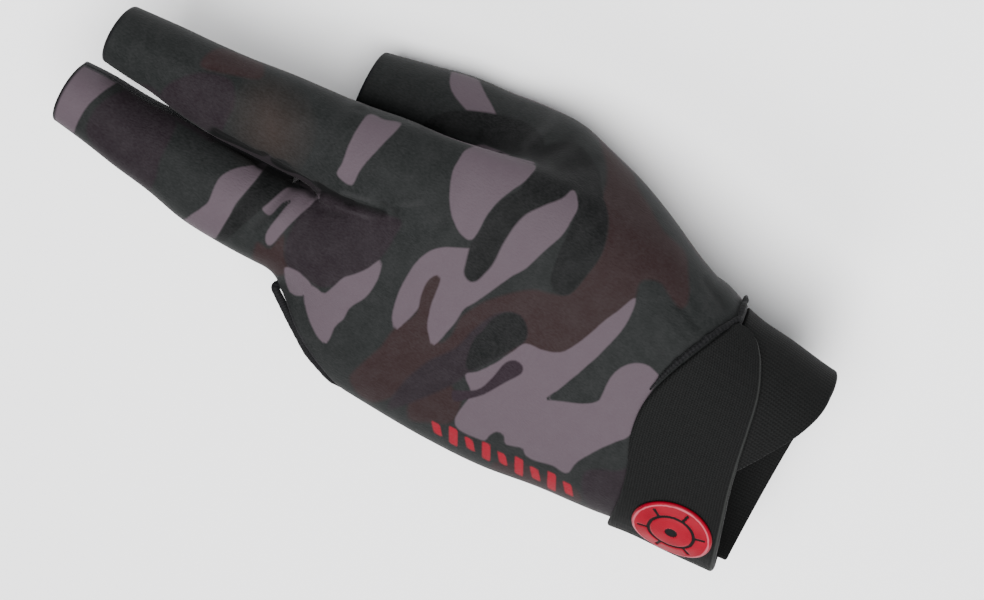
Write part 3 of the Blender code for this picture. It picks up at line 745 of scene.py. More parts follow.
    def refine(self, points: Array, grids: list[Array]) -> None:
        """Cuts each cell into fine cells by straight shares, joins the grids and lays them."""
        clouds, numbered, total = [], [], 0
        for grid in grids:
            rows, columns = ((n - 1) * self.fine for n in grid.shape)
            r, c = np.arange(rows + 1) / self.fine, np.arange(columns + 1) / self.fine
            i = np.minimum(r.astype(int), grid.shape[0] - 2)
            j = np.minimum(c.astype(int), grid.shape[1] - 2)
            u, v = (r - i)[:, None, None], (c - j)[None, :, None]
            corner = points[grid]
            top = corner[i][:, j] * (1 - v) + corner[i][:, j + 1] * v
            low = corner[i + 1][:, j] * (1 - v) + corner[i + 1][:, j + 1] * v
            clouds.append((top * (1 - u) + low * u).reshape(-1, 3))
            shape = (rows + 1, columns + 1)
            numbered.append(total + np.arange(shape[0] * shape[1]).reshape(shape))
            total += numbered[-1].size
        cloud = np.concatenate(clouds)
        rounded = np.round(cloud, self.join_digits)
        _, first, joined = np.unique(rounded, axis=0, return_index=True, return_inverse=True)
        joined = joined.reshape(-1)
        self.faces = np.concatenate([grid_faces(joined[grid]) for grid in numbered])
        self.points = self.form.laid(cloud[first], steps=8)
        self.faces = facing_out(self.form, self.points, self.faces)


def facing_out(form: GloveForm, points: Array, faces: Array) -> Array:
    """The faces turned so that they look away from the form."""
    a, b, c = (points[faces[:, i]] for i in range(3))
    facing = (np.cross(b - a, c - a) * form.slope((a + c) / 2)).sum()
    return faces if facing > 0 else faces[:, ::-1]


@dataclass(frozen=True)
class Term:
    """A number in a shader tree. Python's operators add Math nodes to it."""

    tree: bpy.types.NodeTree
    socket: bpy.types.NodeSocket

    def math(self, operation: str, *others: "Term | float", flip: bool = False) -> "Term":
        """A Math node of this value and others, or of the others and this one."""
        node = self.tree.nodes.new("ShaderNodeMath")
        node.operation = operation
        values = [*others, self] if flip else [self, *others]
        for place, value in enumerate(values):
            if isinstance(value, Term):
                self.tree.links.new(value.socket, node.inputs[place])
            else:
                node.inputs[place].default_value = value
        return Term(self.tree, node.outputs[0])

    def __add__(self, other: "Term | float") -> "Term":
        """The sum."""
        return self.math("ADD", other)

    __radd__ = __add__

    def __sub__(self, other: "Term | float") -> "Term":
        """This less the other."""
        return self.math("SUBTRACT", other)

    def __rsub__(self, other: float) -> "Term":
        """The other less this."""
        return self.math("SUBTRACT", other, flip=True)

    def __mul__(self, other: "Term | float") -> "Term":
        """The product."""
        return self.math("MULTIPLY", other)

    __rmul__ = __mul__

    def __truediv__(self, other: "Term | float") -> "Term":
        """This over the other."""
        return self.math("DIVIDE", other)

    def __rtruediv__(self, other: float) -> "Term":
        """The other over this."""
        return self.math("DIVIDE", other, flip=True)

    def __neg__(self) -> "Term":
        """This with its sign turned."""
        return self.math("MULTIPLY", -1.0)

    def __abs__(self) -> "Term":
        """This without its sign."""
        return self.math("ABSOLUTE")

    def sine(self) -> "Term":
        """The sine of this in radians."""
        return self.math("SINE")

    def smallest(self, other: "Term | float") -> "Term":
        """The smaller of this and the other."""
        return self.math("MINIMUM", other)

    def largest(self, other: "Term | float") -> "Term":
        """The larger of this and the other."""
        return self.math("MAXIMUM", other)

    def ramp(self, low: float, high: float) -> "Term":
        """0 at low to 1 at high, held past both ends."""
        return ((self - low) / (high - low)).largest(0.0).smallest(1.0)


Colour = tuple[float, float, float]
Paint = Colour | bpy.types.NodeSocket


class Finish:
    """One material: a Principled shader and the nodes that feed it."""

    def __init__(self, name: str, colour: Colour, roughness: float) -> None:
        """Makes the material with one colour and roughness."""
        self.material = bpy.data.materials.new(name)
        self.material.use_nodes = True
        self.tree = self.material.node_tree
        self.shader = self.tree.nodes["Principled BSDF"]
        self.fix(**{"Base Color": (*colour, 1.0), "Roughness": roughness})

    def fix(self, **sockets: object) -> None:
        """Sets sockets of the shader that are the same all over the surface."""
        for name, value in sockets.items():
            self.shader.inputs[name.replace("_", " ")].default_value = value

    def node(
        self, kind: str, settings: dict[str, object], inputs: dict[object, object]
    ) -> bpy.types.Node:
        """Adds any node.

        Args:
            kind: the node's type name.
            settings: its own properties.
            inputs: values, Terms or sockets by input name or number.

        Returns:
            The node.
        """
        node = self.tree.nodes.new(kind)
        for name, value in settings.items():
            setattr(node, name, value)
        for name, value in inputs.items():
            value = value.socket if isinstance(value, Term) else value
            if isinstance(value, bpy.types.NodeSocket):
                self.tree.links.new(value, node.inputs[name])
            else:
                node.inputs[name].default_value = value
        return node

    def attribute(self, name: str) -> Term:
        """A number that the mesh holds at its points."""
        node = self.node("ShaderNodeAttribute", {"attribute_name": name}, {})
        return Term(self.tree, node.outputs["Fac"])

    def place(self, along: float = 1.0) -> bpy.types.NodeSocket:
        """The object's own coordinates, with those along the fingers times this number."""
        inputs = {0: self.node("ShaderNodeTexCoord", {}, {}).outputs["Object"], 1: (1.0, along, 1.0)}
        return self.node("ShaderNodeVectorMath", {"operation": "MULTIPLY"}, inputs).outputs[0]

    def noise(self, vector: bpy.types.NodeSocket, scale: float, detail: float = 2.0) -> Term:
        """Soft noise between 0 and 1."""
        inputs = {"Vector": vector, "Scale": scale, "Detail": detail, "Roughness": 0.5}
        return Term(self.tree, self.node("ShaderNodeTexNoise", {}, inputs).outputs["Fac"])

    def weave(self) -> tuple[Term, Term]:
        """The piece's own weave coordinates in metres: along it and across it."""
        uv = self.node("ShaderNodeUVMap", {"uv_map": "weave"}, {}).outputs[0]
        parts = self.node("ShaderNodeSeparateXYZ", {}, {0: uv})
        return Term(self.tree, parts.outputs[0]), Term(self.tree, parts.outputs[1])

    def blend(self, share: Term, first: Paint, second: Paint) -> bpy.types.NodeSocket:
        """The first colour turning into the second as the share goes from 0 to 1."""
        ends = [(*paint, 1.0) if isinstance(paint, tuple) else paint for paint in (first, second)]
        inputs = {0: share, 6: ends[0], 7: ends[1]}
        return self.node("ShaderNodeMix", {"data_type": "RGBA"}, inputs).outputs[2]

    def feed(self, name: str, value: object) -> None:
        """Links a Term or a socket to a socket of the shader."""
        source = value.socket if isinstance(value, Term) else value
        self.tree.links.new(source, self.shader.inputs[name])

    def relief(self, height: Term, depth: float, strength: float = 1.0) -> None:
        """Feeds the normal with a bump whose height of 1 is depth metres."""
        inputs = {"Height": height, "Distance": depth, "Strength": strength}
        self.feed("Normal", self.node("ShaderNodeBump", {}, inputs).outputs[0])


@dataclass(frozen=True)
class Knit:
    """Thin stretch knit: fine grains, a soft mottle and a ridge along the seams.

    along draws the grains out along the fingers, roughness holds its start and the grains'
    share in it, and ridge holds where the seam's ridge starts and ends and how high it is.
    """

    along: float
    grain_scale: float
    mottle_scale: float
    roughness: tuple[float, float]
    ridge: tuple[float, float, float] = (0.1, 0.7, 0.7)
    bump_depth: float = 0.00022
    bump_strength: float = 0.55

    def begin(self, finish: Finish) -> tuple[Term, Term]:
        """Sets the dull gloss of the cloth and gives its grain and its mottle."""
        finish.fix(Sheen_Weight=0.02, Sheen_Roughness=0.5, Specular_IOR_Level=0.06)
        grain = finish.noise(finish.place(self.along), self.grain_scale, 1.0)
        return grain, finish.noise(finish.place(), self.mottle_scale, 3.0)

    def end(self, finish: Finish, grain: Term, mottle: Term) -> None:
        """Feeds the relief and the roughness from the grain and the mottle."""
        low, high, share = self.ridge
        stitch = finish.attribute("seam").ramp(low, high) * share
        height = grain * 0.8 + mottle * 0.3 + stitch
        finish.relief(height, self.bump_depth, self.bump_strength)
        start, change = self.roughness
        finish.feed("Roughness", start + grain * change)


@dataclass(frozen=True)
class PrintedCloth:
    """Thin stretch knit with the camouflage print, painted shade in the creases' hollows and a painted
    highlight on their ridges.

    dyes holds each colour and half the width of its soft edge in millimetres. Off the chart
    the wild dyes go on as noise: wild_level is the noise at a patch's edge, wild_slope turns
    noise into millimetres, and wild_shift moves it from dye to dye. The other dyes end
    there, as off_chart takes their depth away. ragged is how far the mottle moves an edge.
    """

    ground: Colour = (0.0072, 0.0082, 0.0080)
    fleck: Colour = (0.12, 0.115, 0.12)
    # Painted shade: the near-black colour laid into the creases' hollows.
    crease_shade: Colour = (0.0012, 0.0012, 0.0013)
    # Dark border line: stitching at the seams, and painted edge shade along the open cut edges.
    stitching_and_edge_shade: Colour = (0.006, 0.006, 0.007)
    dyes: tuple[tuple[Dye, Colour, float], ...] = (
        (Dye.MAROON, (0.0140, 0.0072, 0.0074), 0.5),
        (Dye.PLUM, (0.0090, 0.0060, 0.0080), 0.5),
        (Dye.BROWN, (0.0155, 0.0105, 0.0088), 6.0),
        (Dye.LILAC, (0.056, 0.042, 0.051), 0.25),
        (Dye.NIGHT, (0.0030, 0.0034, 0.0034), 0.3),
        (Dye.OVERPLUM, (0.0110, 0.0062, 0.0095), 0.25),
        (Dye.RED, (0.17, 0.003, 0.011), 0.2),
    )
    wild_dyes: tuple[Dye, ...] = (Dye.MAROON, Dye.PLUM, Dye.LILAC, Dye.NIGHT)
    wild_along: float = 0.55
    wild_scale: float = 62.0
    wild_level: float = 0.575
    wild_slope: float = 60.0
    wild_shift: tuple[float, float] = (0.31, 0.17)
    off_chart: float = 12.0
    ragged: float = 0.35
    fleck_share: float = 0.09
    # How far the creases' hollows turn to the painted shade colour.
    crease_shade_share: float = 0.85
    # How far the creases' ridges turn to the pale fleck colour, as a painted highlight.
    crest_highlight_share: float = 0.14
    knit: Knit = Knit(0.45, 2400.0, 260.0, (0.56, 0.18))

    def make(self) -> bpy.types.Material:
        """Lays the colours down in order. Off the chart, noise takes the place of the chart."""
        finish = Finish("printed_cloth", self.ground, 0.62)
        grain, mottle = self.knit.begin(finish)
        charted = finish.attribute("charted")
        colour: Paint = self.ground
        for turn, (dye, shade, edge) in enumerate(self.dyes):
            depth = finish.attribute(dye.value)
            if dye in self.wild_dyes:
                depth = depth * charted + self.wild_depth(finish, turn) * (1.0 - charted)
            else:
                depth = depth - (1.0 - charted) * self.off_chart
            share = (depth + (mottle - 0.5) * self.ragged).ramp(-edge, edge)
            colour = finish.blend(share, colour, shade)
        speckle = (grain * 0.6 + mottle * 0.4).ramp(0.35, 0.85) * self.fleck_share
        colour = finish.blend(speckle, colour, self.fleck)
        fold = finish.attribute("fold")
        # Painted shade: the print darkens in the creases' hollows, from their depth, even where the cloth
        # is not lifted.
        colour = finish.blend(fold.ramp(0.1, 1.0) * self.crease_shade_share, colour, self.crease_shade)
        # Painted highlight: the creases' ridges turn towards the pale fleck colour.
        colour = finish.blend((-fold).ramp(0.15, 1.0) * self.crest_highlight_share, colour, self.fleck)
        # Dark line within about a millimetre of every border: stitching at the seams, painted edge shade
        # at the open cut edges.
        seam = finish.attribute("seam").ramp(0.3, 1.1)
        finish.feed("Base Color", finish.blend(seam, self.stitching_and_edge_shade, colour))
        self.knit.end(finish, grain, mottle)
        return finish.material

    def wild_depth(self, finish: Finish, turn: int) -> Term:
        """Depth in a dye's patches where noise draws them, in millimetres."""
        shift = (turn * self.wild_shift[0], turn * self.wild_shift[1], 0.0)
        inputs = {0: finish.place(self.wild_along), 1: shift}
        moved = finish.node("ShaderNodeVectorMath", {"operation": "ADD"}, inputs).outputs[0]
        return (finish.noise(moved, self.wild_scale, 1.5) - self.wild_level) * self.wild_slope


@dataclass(frozen=True)
class PlainCloth:
    """Thin stretch knit, plain black, for the palm."""

    colour: Colour = (0.0052, 0.0052, 0.0060)
    fleck: Colour = (0.0160, 0.0160, 0.0175)
    knit: Knit = Knit(0.4, 2300.0, 240.0, (0.60, 0.2))

    def make(self) -> bpy.types.Material:
        """Black knit whose grains are a little paler."""
        finish = Finish("plain_cloth", self.colour, 0.66)
        grain, mottle = self.knit.begin(finish)
        share = (grain * 0.7 + mottle * 0.5).ramp(0.35, 0.95)
        finish.feed("Base Color", finish.blend(share, self.colour, self.fleck))
        self.knit.end(finish, grain, mottle)
        return finish.material


@dataclass(frozen=True)
class Elastic:
    """Woven elastic with ribs along its length and fine picks across it.

    Pitches are in metres. selvedge is how far in from its edge a paler line runs, or 0 for
    none, and line holds the half width of the line's full and of its fading part.
    """

    name: str
    rib_pitch: float
    pick_pitch: float
    along: bool = True
    selvedge: float = 0.0
    line: tuple[float, float] = (0.00012, 0.00034)
    bump_depth: float = 0.00016
    colour: Colour = (0.0030, 0.0031, 0.0031)
    thread: Colour = (0.0135, 0.0138, 0.0136)
    line_colour: Colour = (0.024, 0.025, 0.024)

    def make(self) -> bpy.types.Material:
        """Ribs are a sine across the band, and picks a sine along it, shifted rib by rib."""
        finish = Finish(self.name, self.colour, 0.75)
        finish.fix(Sheen_Weight=0.01, Sheen_Roughness=0.5, Specular_IOR_Level=0.05)
        length, width = finish.weave()
        run, cross = (length, width) if self.along else (width, length)
        tau = 2 * np.pi
        wander = finish.noise(finish.place(), 900.0, 2.0)
        ribs = (cross * (tau / self.rib_pitch) + wander * 0.9).sine() * 0.5 + 0.5
        picks = (run * (tau / self.pick_pitch) + ribs * 2.6 + wander * 1.4).sine() * 0.5 + 0.5
        lint = finish.noise(finish.place(), 3000.0, 1.0)
        light = (ribs * 0.20 + picks * 0.20 + lint * 0.62).ramp(0.30, 1.10)
        colour = finish.blend(light, self.colour, self.thread)
        height = ribs * 0.4 + picks * 0.3 + lint * 0.35
        if self.selvedge:
            line = 1.0 - abs(width - self.selvedge).ramp(*self.line)
            colour = finish.blend(line * (0.55 + lint * 0.5), colour, self.line_colour)
            height = height + line * 0.9
        finish.feed("Base Color", colour)
        finish.relief(height, self.bump_depth, 0.8)
        finish.feed("Roughness", 0.66 + lint * 0.2)
        return finish.material


@dataclass(frozen=True)
class PuckeredEdge:
    """Binding or a gathered seam: black cloth with tight cross puckers."""

    name: str
    pitch: float
    bump_depth: float = 0.00012
    colour: Colour = (0.0026, 0.0026, 0.0030)
    crest: Colour = (0.0150, 0.0150, 0.0160)

    def make(self) -> bpy.types.Material:
        """Puckers are a sine along the cord, bent by noise."""
        finish = Finish(self.name, self.colour, 0.7)
        finish.fix(Sheen_Weight=0.02, Sheen_Roughness=0.5, Specular_IOR_Level=0.08)
        length, _ = finish.weave()
        wander = finish.noise(finish.place(), 700.0, 2.0)
        lint = finish.noise(finish.place(), 2600.0, 1.0)
        pucker = (length * (2 * np.pi / self.pitch) + wander * 3.0).sine() * 0.5 + 0.5
        share = (pucker * 0.25 + lint * 0.75).ramp(0.35, 1.05)
        finish.feed("Base Color", finish.blend(share, self.colour, self.crest))
        finish.relief(pucker * 0.5 + lint * 0.5, self.bump_depth, 0.7)
        finish.feed("Roughness", 0.62 + lint * 0.25)
        return finish.material


@dataclass(frozen=True)
class BadgeRubber:
    """Moulded red badge with a pale rim line and black grooves."""

    red: Colour = (0.21, 0.0006, 0.011)
    deep: Colour = (0.14, 0.0004, 0.007)
    groove: Colour = (0.003, 0.0028, 0.003)
    pale: Colour = (0.30, 0.060, 0.080)
    bump_depth: float = 0.00006

    def make(self) -> bpy.types.Material:
        """Groove and rim shares come from the mesh. Soft noise varies the red."""
        finish = Finish("badge_rubber", self.red, 0.36)
        finish.fix(Specular_IOR_Level=0.08)
        cloud = finish.noise(finish.place(), 180.0, 2.0)
        grit = finish.noise(finish.place(), 2200.0, 1.0)
        colour = finish.blend(cloud.ramp(0.3, 0.75), self.red, self.deep)
        colour = finish.blend(finish.attribute("pale").ramp(0.25, 0.75), colour, self.pale)
        groove = finish.attribute("groove").ramp(0.35, 0.65)
        finish.feed("Base Color", finish.blend(groove, colour, self.groove))
        finish.relief(grit, self.bump_depth, 0.5)
        finish.feed("Roughness", 0.33 + grit * 0.12 + groove * 0.2)
        return finish.material


@dataclass(frozen=True)
class Piece:
    """A finished mesh: its points, quads, weave coordinates and numbers for the material."""

    name: str
    points: Array
    faces: Array
    weave: Array | None = None
    numbers: dict[str, Array] = field(default_factory=dict)

    def place(self, material: bpy.types.Material, slot: str, node: str) -> bpy.types.Object:
        """Puts the mesh into the scene.

        Args:
            material: its finish.
            slot: not used.
            node: the CAD node that it stands for.

        Returns:
            The object, which rides on the glove.
        """
        mesh = bpy.data.meshes.new(self.name)
        mesh.vertices.add(len(self.points))
        mesh.vertices.foreach_set("co", self.points.astype(np.float32).ravel())
        faces = self.faces.astype(np.int32)
        mesh.loops.add(faces.size)
        mesh.loops.foreach_set("vertex_index", faces.ravel())
        mesh.polygons.add(len(faces))
        starts = np.arange(0, faces.size, faces.shape[1], dtype=np.int32)
        mesh.polygons.foreach_set("loop_start", starts)
        mesh.update(calc_edges=True)
        mesh.validate()
        if self.weave is not None:
            layer = mesh.uv_layers.new(name="weave")
            layer.data.foreach_set("uv", self.weave[faces.ravel()].astype(np.float32).ravel())
        for name, values in self.numbers.items():
            attribute = mesh.attributes.new(name, "FLOAT", "POINT")
            attribute.data.foreach_set("value", values.astype(np.float32))
        mesh.materials.append(material)
        mesh.shade_smooth()
        obj = bpy.data.objects.new(self.name, mesh)
        bpy.context.scene.collection.objects.link(obj)
        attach(obj, "root")
        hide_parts(node)
        log.info("%s: %d points, %d faces", self.name, len(self.points), len(faces))
        return obj


def walled(faces: Array, count: int) -> Array:
    """Faces of a closed body whose second skin follows count points after the first.

    The second skin is the first with its faces turned, and the rim joins the open edges.
    """
    border = border_edges(faces)
    rim = np.stack([border[:, 1], border[:, 0], border[:, 0] + count, border[:, 1] + count], -1)
    return np.concatenate([faces, faces[:, ::-1] + count, rim])


@dataclass
class ClothBody:
    """The printed back panel and the plain palm panel, which meet at the side seams.

    The chart holds for a place whose normal's share towards the chart's eye is past
    turned_away, and fully so past that and turned_fade. Creases fade out within
    border_fade millimetres of a border and are never deeper than deepest. far is the
    greatest seam distance that is measured, in millimetres, and batch how many points at once.
    """

    form: GloveForm
    chart: Chart
    camouflage: Camouflage = field(default_factory=Camouflage)
    wall: float = 0.0008
    turned_away: float = 0.10
    turned_fade: float = 0.16
    border_fade: float = 1.6
    deepest: float = 0.0009
    far: float = 6.0
    batch: int = 4000
    # The creases' depths also give the print its painted shade in their hollows and painted highlight on
    # their ridges, even where their lift fades out.
    creases: tuple[Crease, ...] = (
        Crease((13.4, 142.0), (12.7, 128.0), 1.2, -1.2),
        Crease((12.7, 128.0), (11.6, 112.5), 1.5, -1.3),
        Crease((12.4, 113.0), (12.3, 104.0), 1.0, -1.2),
        Crease((12.3, 104.0), (13.8, 95.0), 0.9, -1.0),
        Crease((14.3, 106.5), (15.6, 98.0), 0.9, 0.50),
        Crease((10.5, 106.0), (11.6, 97.5), 0.9, 0.45),
        Crease((16.2, 98.5), (16.0, 92.5), 0.9, -0.45),
        Crease((16.0, 92.5), (13.2, 91.0), 0.9, -0.35),
        Crease((7.6, 111.5), (9.2, 103.0), 1.0, -0.35),
        Crease((9.5, 118.0), (-3.0, 122.0), 1.5, -0.35),
        Crease((10.5, 115.0), (1.0, 117.5), 1.3, 0.35),
        Crease((11.0, 124.5), (-2.0, 128.0), 1.7, -0.30),
        Crease((17.0, 93.0), (20.5, 88.0), 1.4, 0.30),
        Crease((30.0, 7.5), (34.0, 15.0), 1.2, -0.40),
        Crease((27.0, 9.5), (30.5, 17.5), 1.2, 0.30),
        Crease((22.5, 11.5), (25.5, 18.0), 1.2, -0.30),
        Crease((18.0, 14.0), (20.5, 19.5), 1.2, 0.22),
        Crease((13.0, 16.5), (15.0, 21.5), 1.2, -0.22),
        Crease((44.0, 66.0), (51.0, 61.0), 2.2, -0.5),
        Crease((44.5, 70.0), (53.0, 67.0), 2.0, 0.4),
        Crease((43.0, 60.0), (49.0, 53.0), 2.4, -0.4),
    )
    rims: list[Array] = field(default_factory=list)

    def build(self) -> None:
        """Builds, dresses and places both panels."""
        for cut, finish, slot in (
            (BACK_CUT, PrintedCloth(), "printed_cloth"),
            (PALM_CUT, PlainCloth(), "plain_cloth"),
        ):
            grid = PanelGrid(self.form, cut)
            self.rims.append(grid.rim)
            self.panel(cut, grid).place(finish.make(), slot, cut.node)

    def panel(self, cut: PanelCut, grid: PanelGrid) -> Piece:
        """One panel with its creases, print numbers, seam distance and inner skin.

        The outer skin is lifted by the sum of the creases, faded out where the cloth turns
        away from the chart and at the panel's borders. The inner skin stands a wall below.
        """
        points, faces = grid.points, grid.faces
        normal = unit(self.form.slope(points))
        places = self.chart.places(points)
        facing = (normal * unit(self.chart.eye - points)).sum(-1)
        charted = eased((facing - self.turned_away) / self.turned_fade)
        seam = self.seam_distance(points, faces)
        numbers = {"seam": seam, "charted": charted}
        if cut is BACK_CUT:
            lift = sum(crease.lift(places) for crease in self.creases)
            # fold keeps the unfaded crease depth, from which the print paints shade in the hollows and a
            # highlight on the ridges.
            numbers["fold"] = -lift
            lift = lift * charted * eased(seam / self.border_fade) * MM
            points = points + normal * np.maximum(lift, -self.deepest)[:, None]
            depths = self.camouflage.depths(places)
            numbers |= {dye.value: depth for dye, depth in depths.items()}
        skins = np.concatenate([points, points - normal * self.wall])
        both = {name: np.concatenate([value, value]) for name, value in numbers.items()}
        return Piece(cut.node + "_cloth", skins, walled(faces, len(points)), None, both)

    def seam_distance(self, points: Array, faces: Array) -> Array:
        """Distance of each point from the panel's border, in millimetres, up to far."""
        border = points[np.unique(border_edges(faces))]
        gaps = []
        for start in range(0, len(points), self.batch):
            part = points[start : start + self.batch]
            gaps.append(np.linalg.norm(part[:, None] - border[None], axis=-1).min(1) / MM)
        return np.minimum(np.concatenate(gaps), self.far)


def run_length(path: Array) -> Array:
    """How far along the path each of its points is."""
    steps = np.linalg.norm(np.diff(path, axis=0), axis=1)
    return np.concatenate([[0.0], np.cumsum(steps)])


def cord_piece(
    name: str, path: Array, radius: Callable[[Array], Array], closed: bool, sides: int = 14
) -> Piece:
    """A round cord: at each path point a circle stands square to the path.

    The circle starts from a direction that none of the glove's cords runs along.

    Args:
        name: the piece's name.
        path: the cord's middle line.
        radius: the radius at each length along the path.
        closed: joins the end to the start.
        sides: points round the cord.

    Returns:
        The cord as a piece, whose weave runs along and round it.
    """
    if closed:
        ahead = unit(np.roll(path, -1, 0) - np.roll(path, 1, 0))
    else:
        ahead = unit(np.gradient(path, axis=0))
    length = run_length(path)
    side = unit(np.cross(ahead, [0.21, 0.34, 0.92]))
    lift = np.cross(side, ahead)
    angle = np.linspace(0, 2 * np.pi, sides, endpoint=False)
    size = radius(length)[:, None]
    cosine, sine = np.cos(angle)[None, :, None], np.sin(angle)[None, :, None]
    ring = cosine * side[:, None] + sine * lift[:, None]
    points = (path[:, None] + size[..., None] * ring).reshape(-1, 3)
    numbers = np.arange(len(points)).reshape(len(path), sides)
    numbers = np.hstack([numbers, numbers[:, :1]])
    weave = np.stack(np.broadcast_arrays(length[:, None], angle[None] * size), -1)
    faces = grid_faces(np.vstack([numbers, numbers[:1]]) if closed else numbers)
    a, b, c = (points[faces[:, i]] for i in range(3))
    middle = np.repeat(path, sides, 0)[faces[:, 0]]
    if (np.cross(b - a, c - a) * (a - middle)).sum() < 0:
        faces = faces[:, ::-1]
    return Piece(name, points, faces, weave.reshape(-1, 2))


def spread(path: Array, step: float, closed: bool) -> Array:
    """The path's points moved to even steps of its length, on straight spans."""
    loop = np.vstack([path, path[:1]]) if closed else path
    length = run_length(loop)
    count = max(int(round(length[-1] / step)), 8)
    at = np.linspace(0, length[-1], count, endpoint=not closed)
    return np.stack([np.interp(at, length, loop[:, i]) for i in range(3)], -1)


def evened_path(path: Array, closed: bool, turns: int) -> Array:
    """Each point drawn a third of the way to the middle of its two neighbours, turns times."""
    for _ in range(turns):
        mean = (np.roll(path, 1, 0) + np.roll(path, -1, 0)) / 2
        moved = path + (mean - path) / 3
        path = moved if closed else np.vstack([path[:1], moved[1:-1], path[-1:]])
    return path


@dataclass
class EdgeBinding:
    """The narrow rolled binding round the large opening on the little-finger side.

    tuck is how far its middle lies in from the cloth's face, and turn how near the corner at
    the middle sleeve it starts to turn off the sleeve. The steps are the path's point
    spacings, and the pucker pitches the lengths of the two waves along it.
    """

    form: GloveForm
    radius: float = 0.00105
    clearance: float = 0.0002
    tuck: float = 0.0005
    turn: float = 0.008
    first_step: float = 0.0006
    last_step: float = 0.0005
    pucker_pitches: tuple[float, float] = (0.00105, 0.0027)
    pucker_share: float = 0.03

    def build(self, rims: Sequence[Array], cloth: Sequence[bpy.types.Object]) -> None:
        """Runs a cord just outside the two panels' open rims, clear of the cloth.

        Where the rims meet at the middle sleeve, the cord turns to the side, off the sleeve.
        """
        back, palm = rims
        loop = np.concatenate([back, palm[-2:0:-1]])
        slope = self.form.slope(loop)
        away = unit(np.cross(np.roll(loop, -1, 0) - np.roll(loop, 1, 0), slope))
        away *= np.sign(away[:, 1:2])
        slope = unit(slope)
        near = eased(1 - np.linalg.norm(loop - loop[0], axis=1, keepdims=True) / self.turn)
        away = unit(away + (slope[0] - away) * near)
        gap = self.radius + self.clearance
        middle = loop + away * gap - slope * self.tuck
        path = evened_path(spread(middle, self.first_step, True), True, 12)
        path = kept_clear(path, cloth, gap)
        path = evened_path(spread(path, self.last_step, True), True, 4)
        piece = cord_piece("edge_binding_roll", path, self.puckers, True)
        piece.place(PuckeredEdge("binding_cloth", 0.0007).make(), "elastic", "edge_binding")

    def puckers(self, length: Array) -> Array:
        """The radius with shallow puckers: two sines whose steps don't match."""
        short, long = (np.sin(length / pitch * 2 * np.pi) for pitch in self.pucker_pitches)
        return self.radius * (1 + self.pucker_share * (short * 0.5 + long))


def kept_clear(
    path: Array, solids: Sequence[bpy.types.Object], distance: Array | float, rounds: int = 6
) -> Array:
    """The path pushed away from the nearest place of each solid until it is that far off."""
    trees = [BVHTree.FromObject(obj, bpy.context.evaluated_depsgraph_get()) for obj in solids]
    for _ in range(rounds):
        for tree in trees:
            near = np.array([tree.find_nearest(point)[0] for point in path])
            apart = path - near
            size = np.linalg.norm(apart, axis=1, keepdims=True)
            path = path + apart / np.maximum(size, 1e-9) * np.maximum(distance - size, 0)
    return path


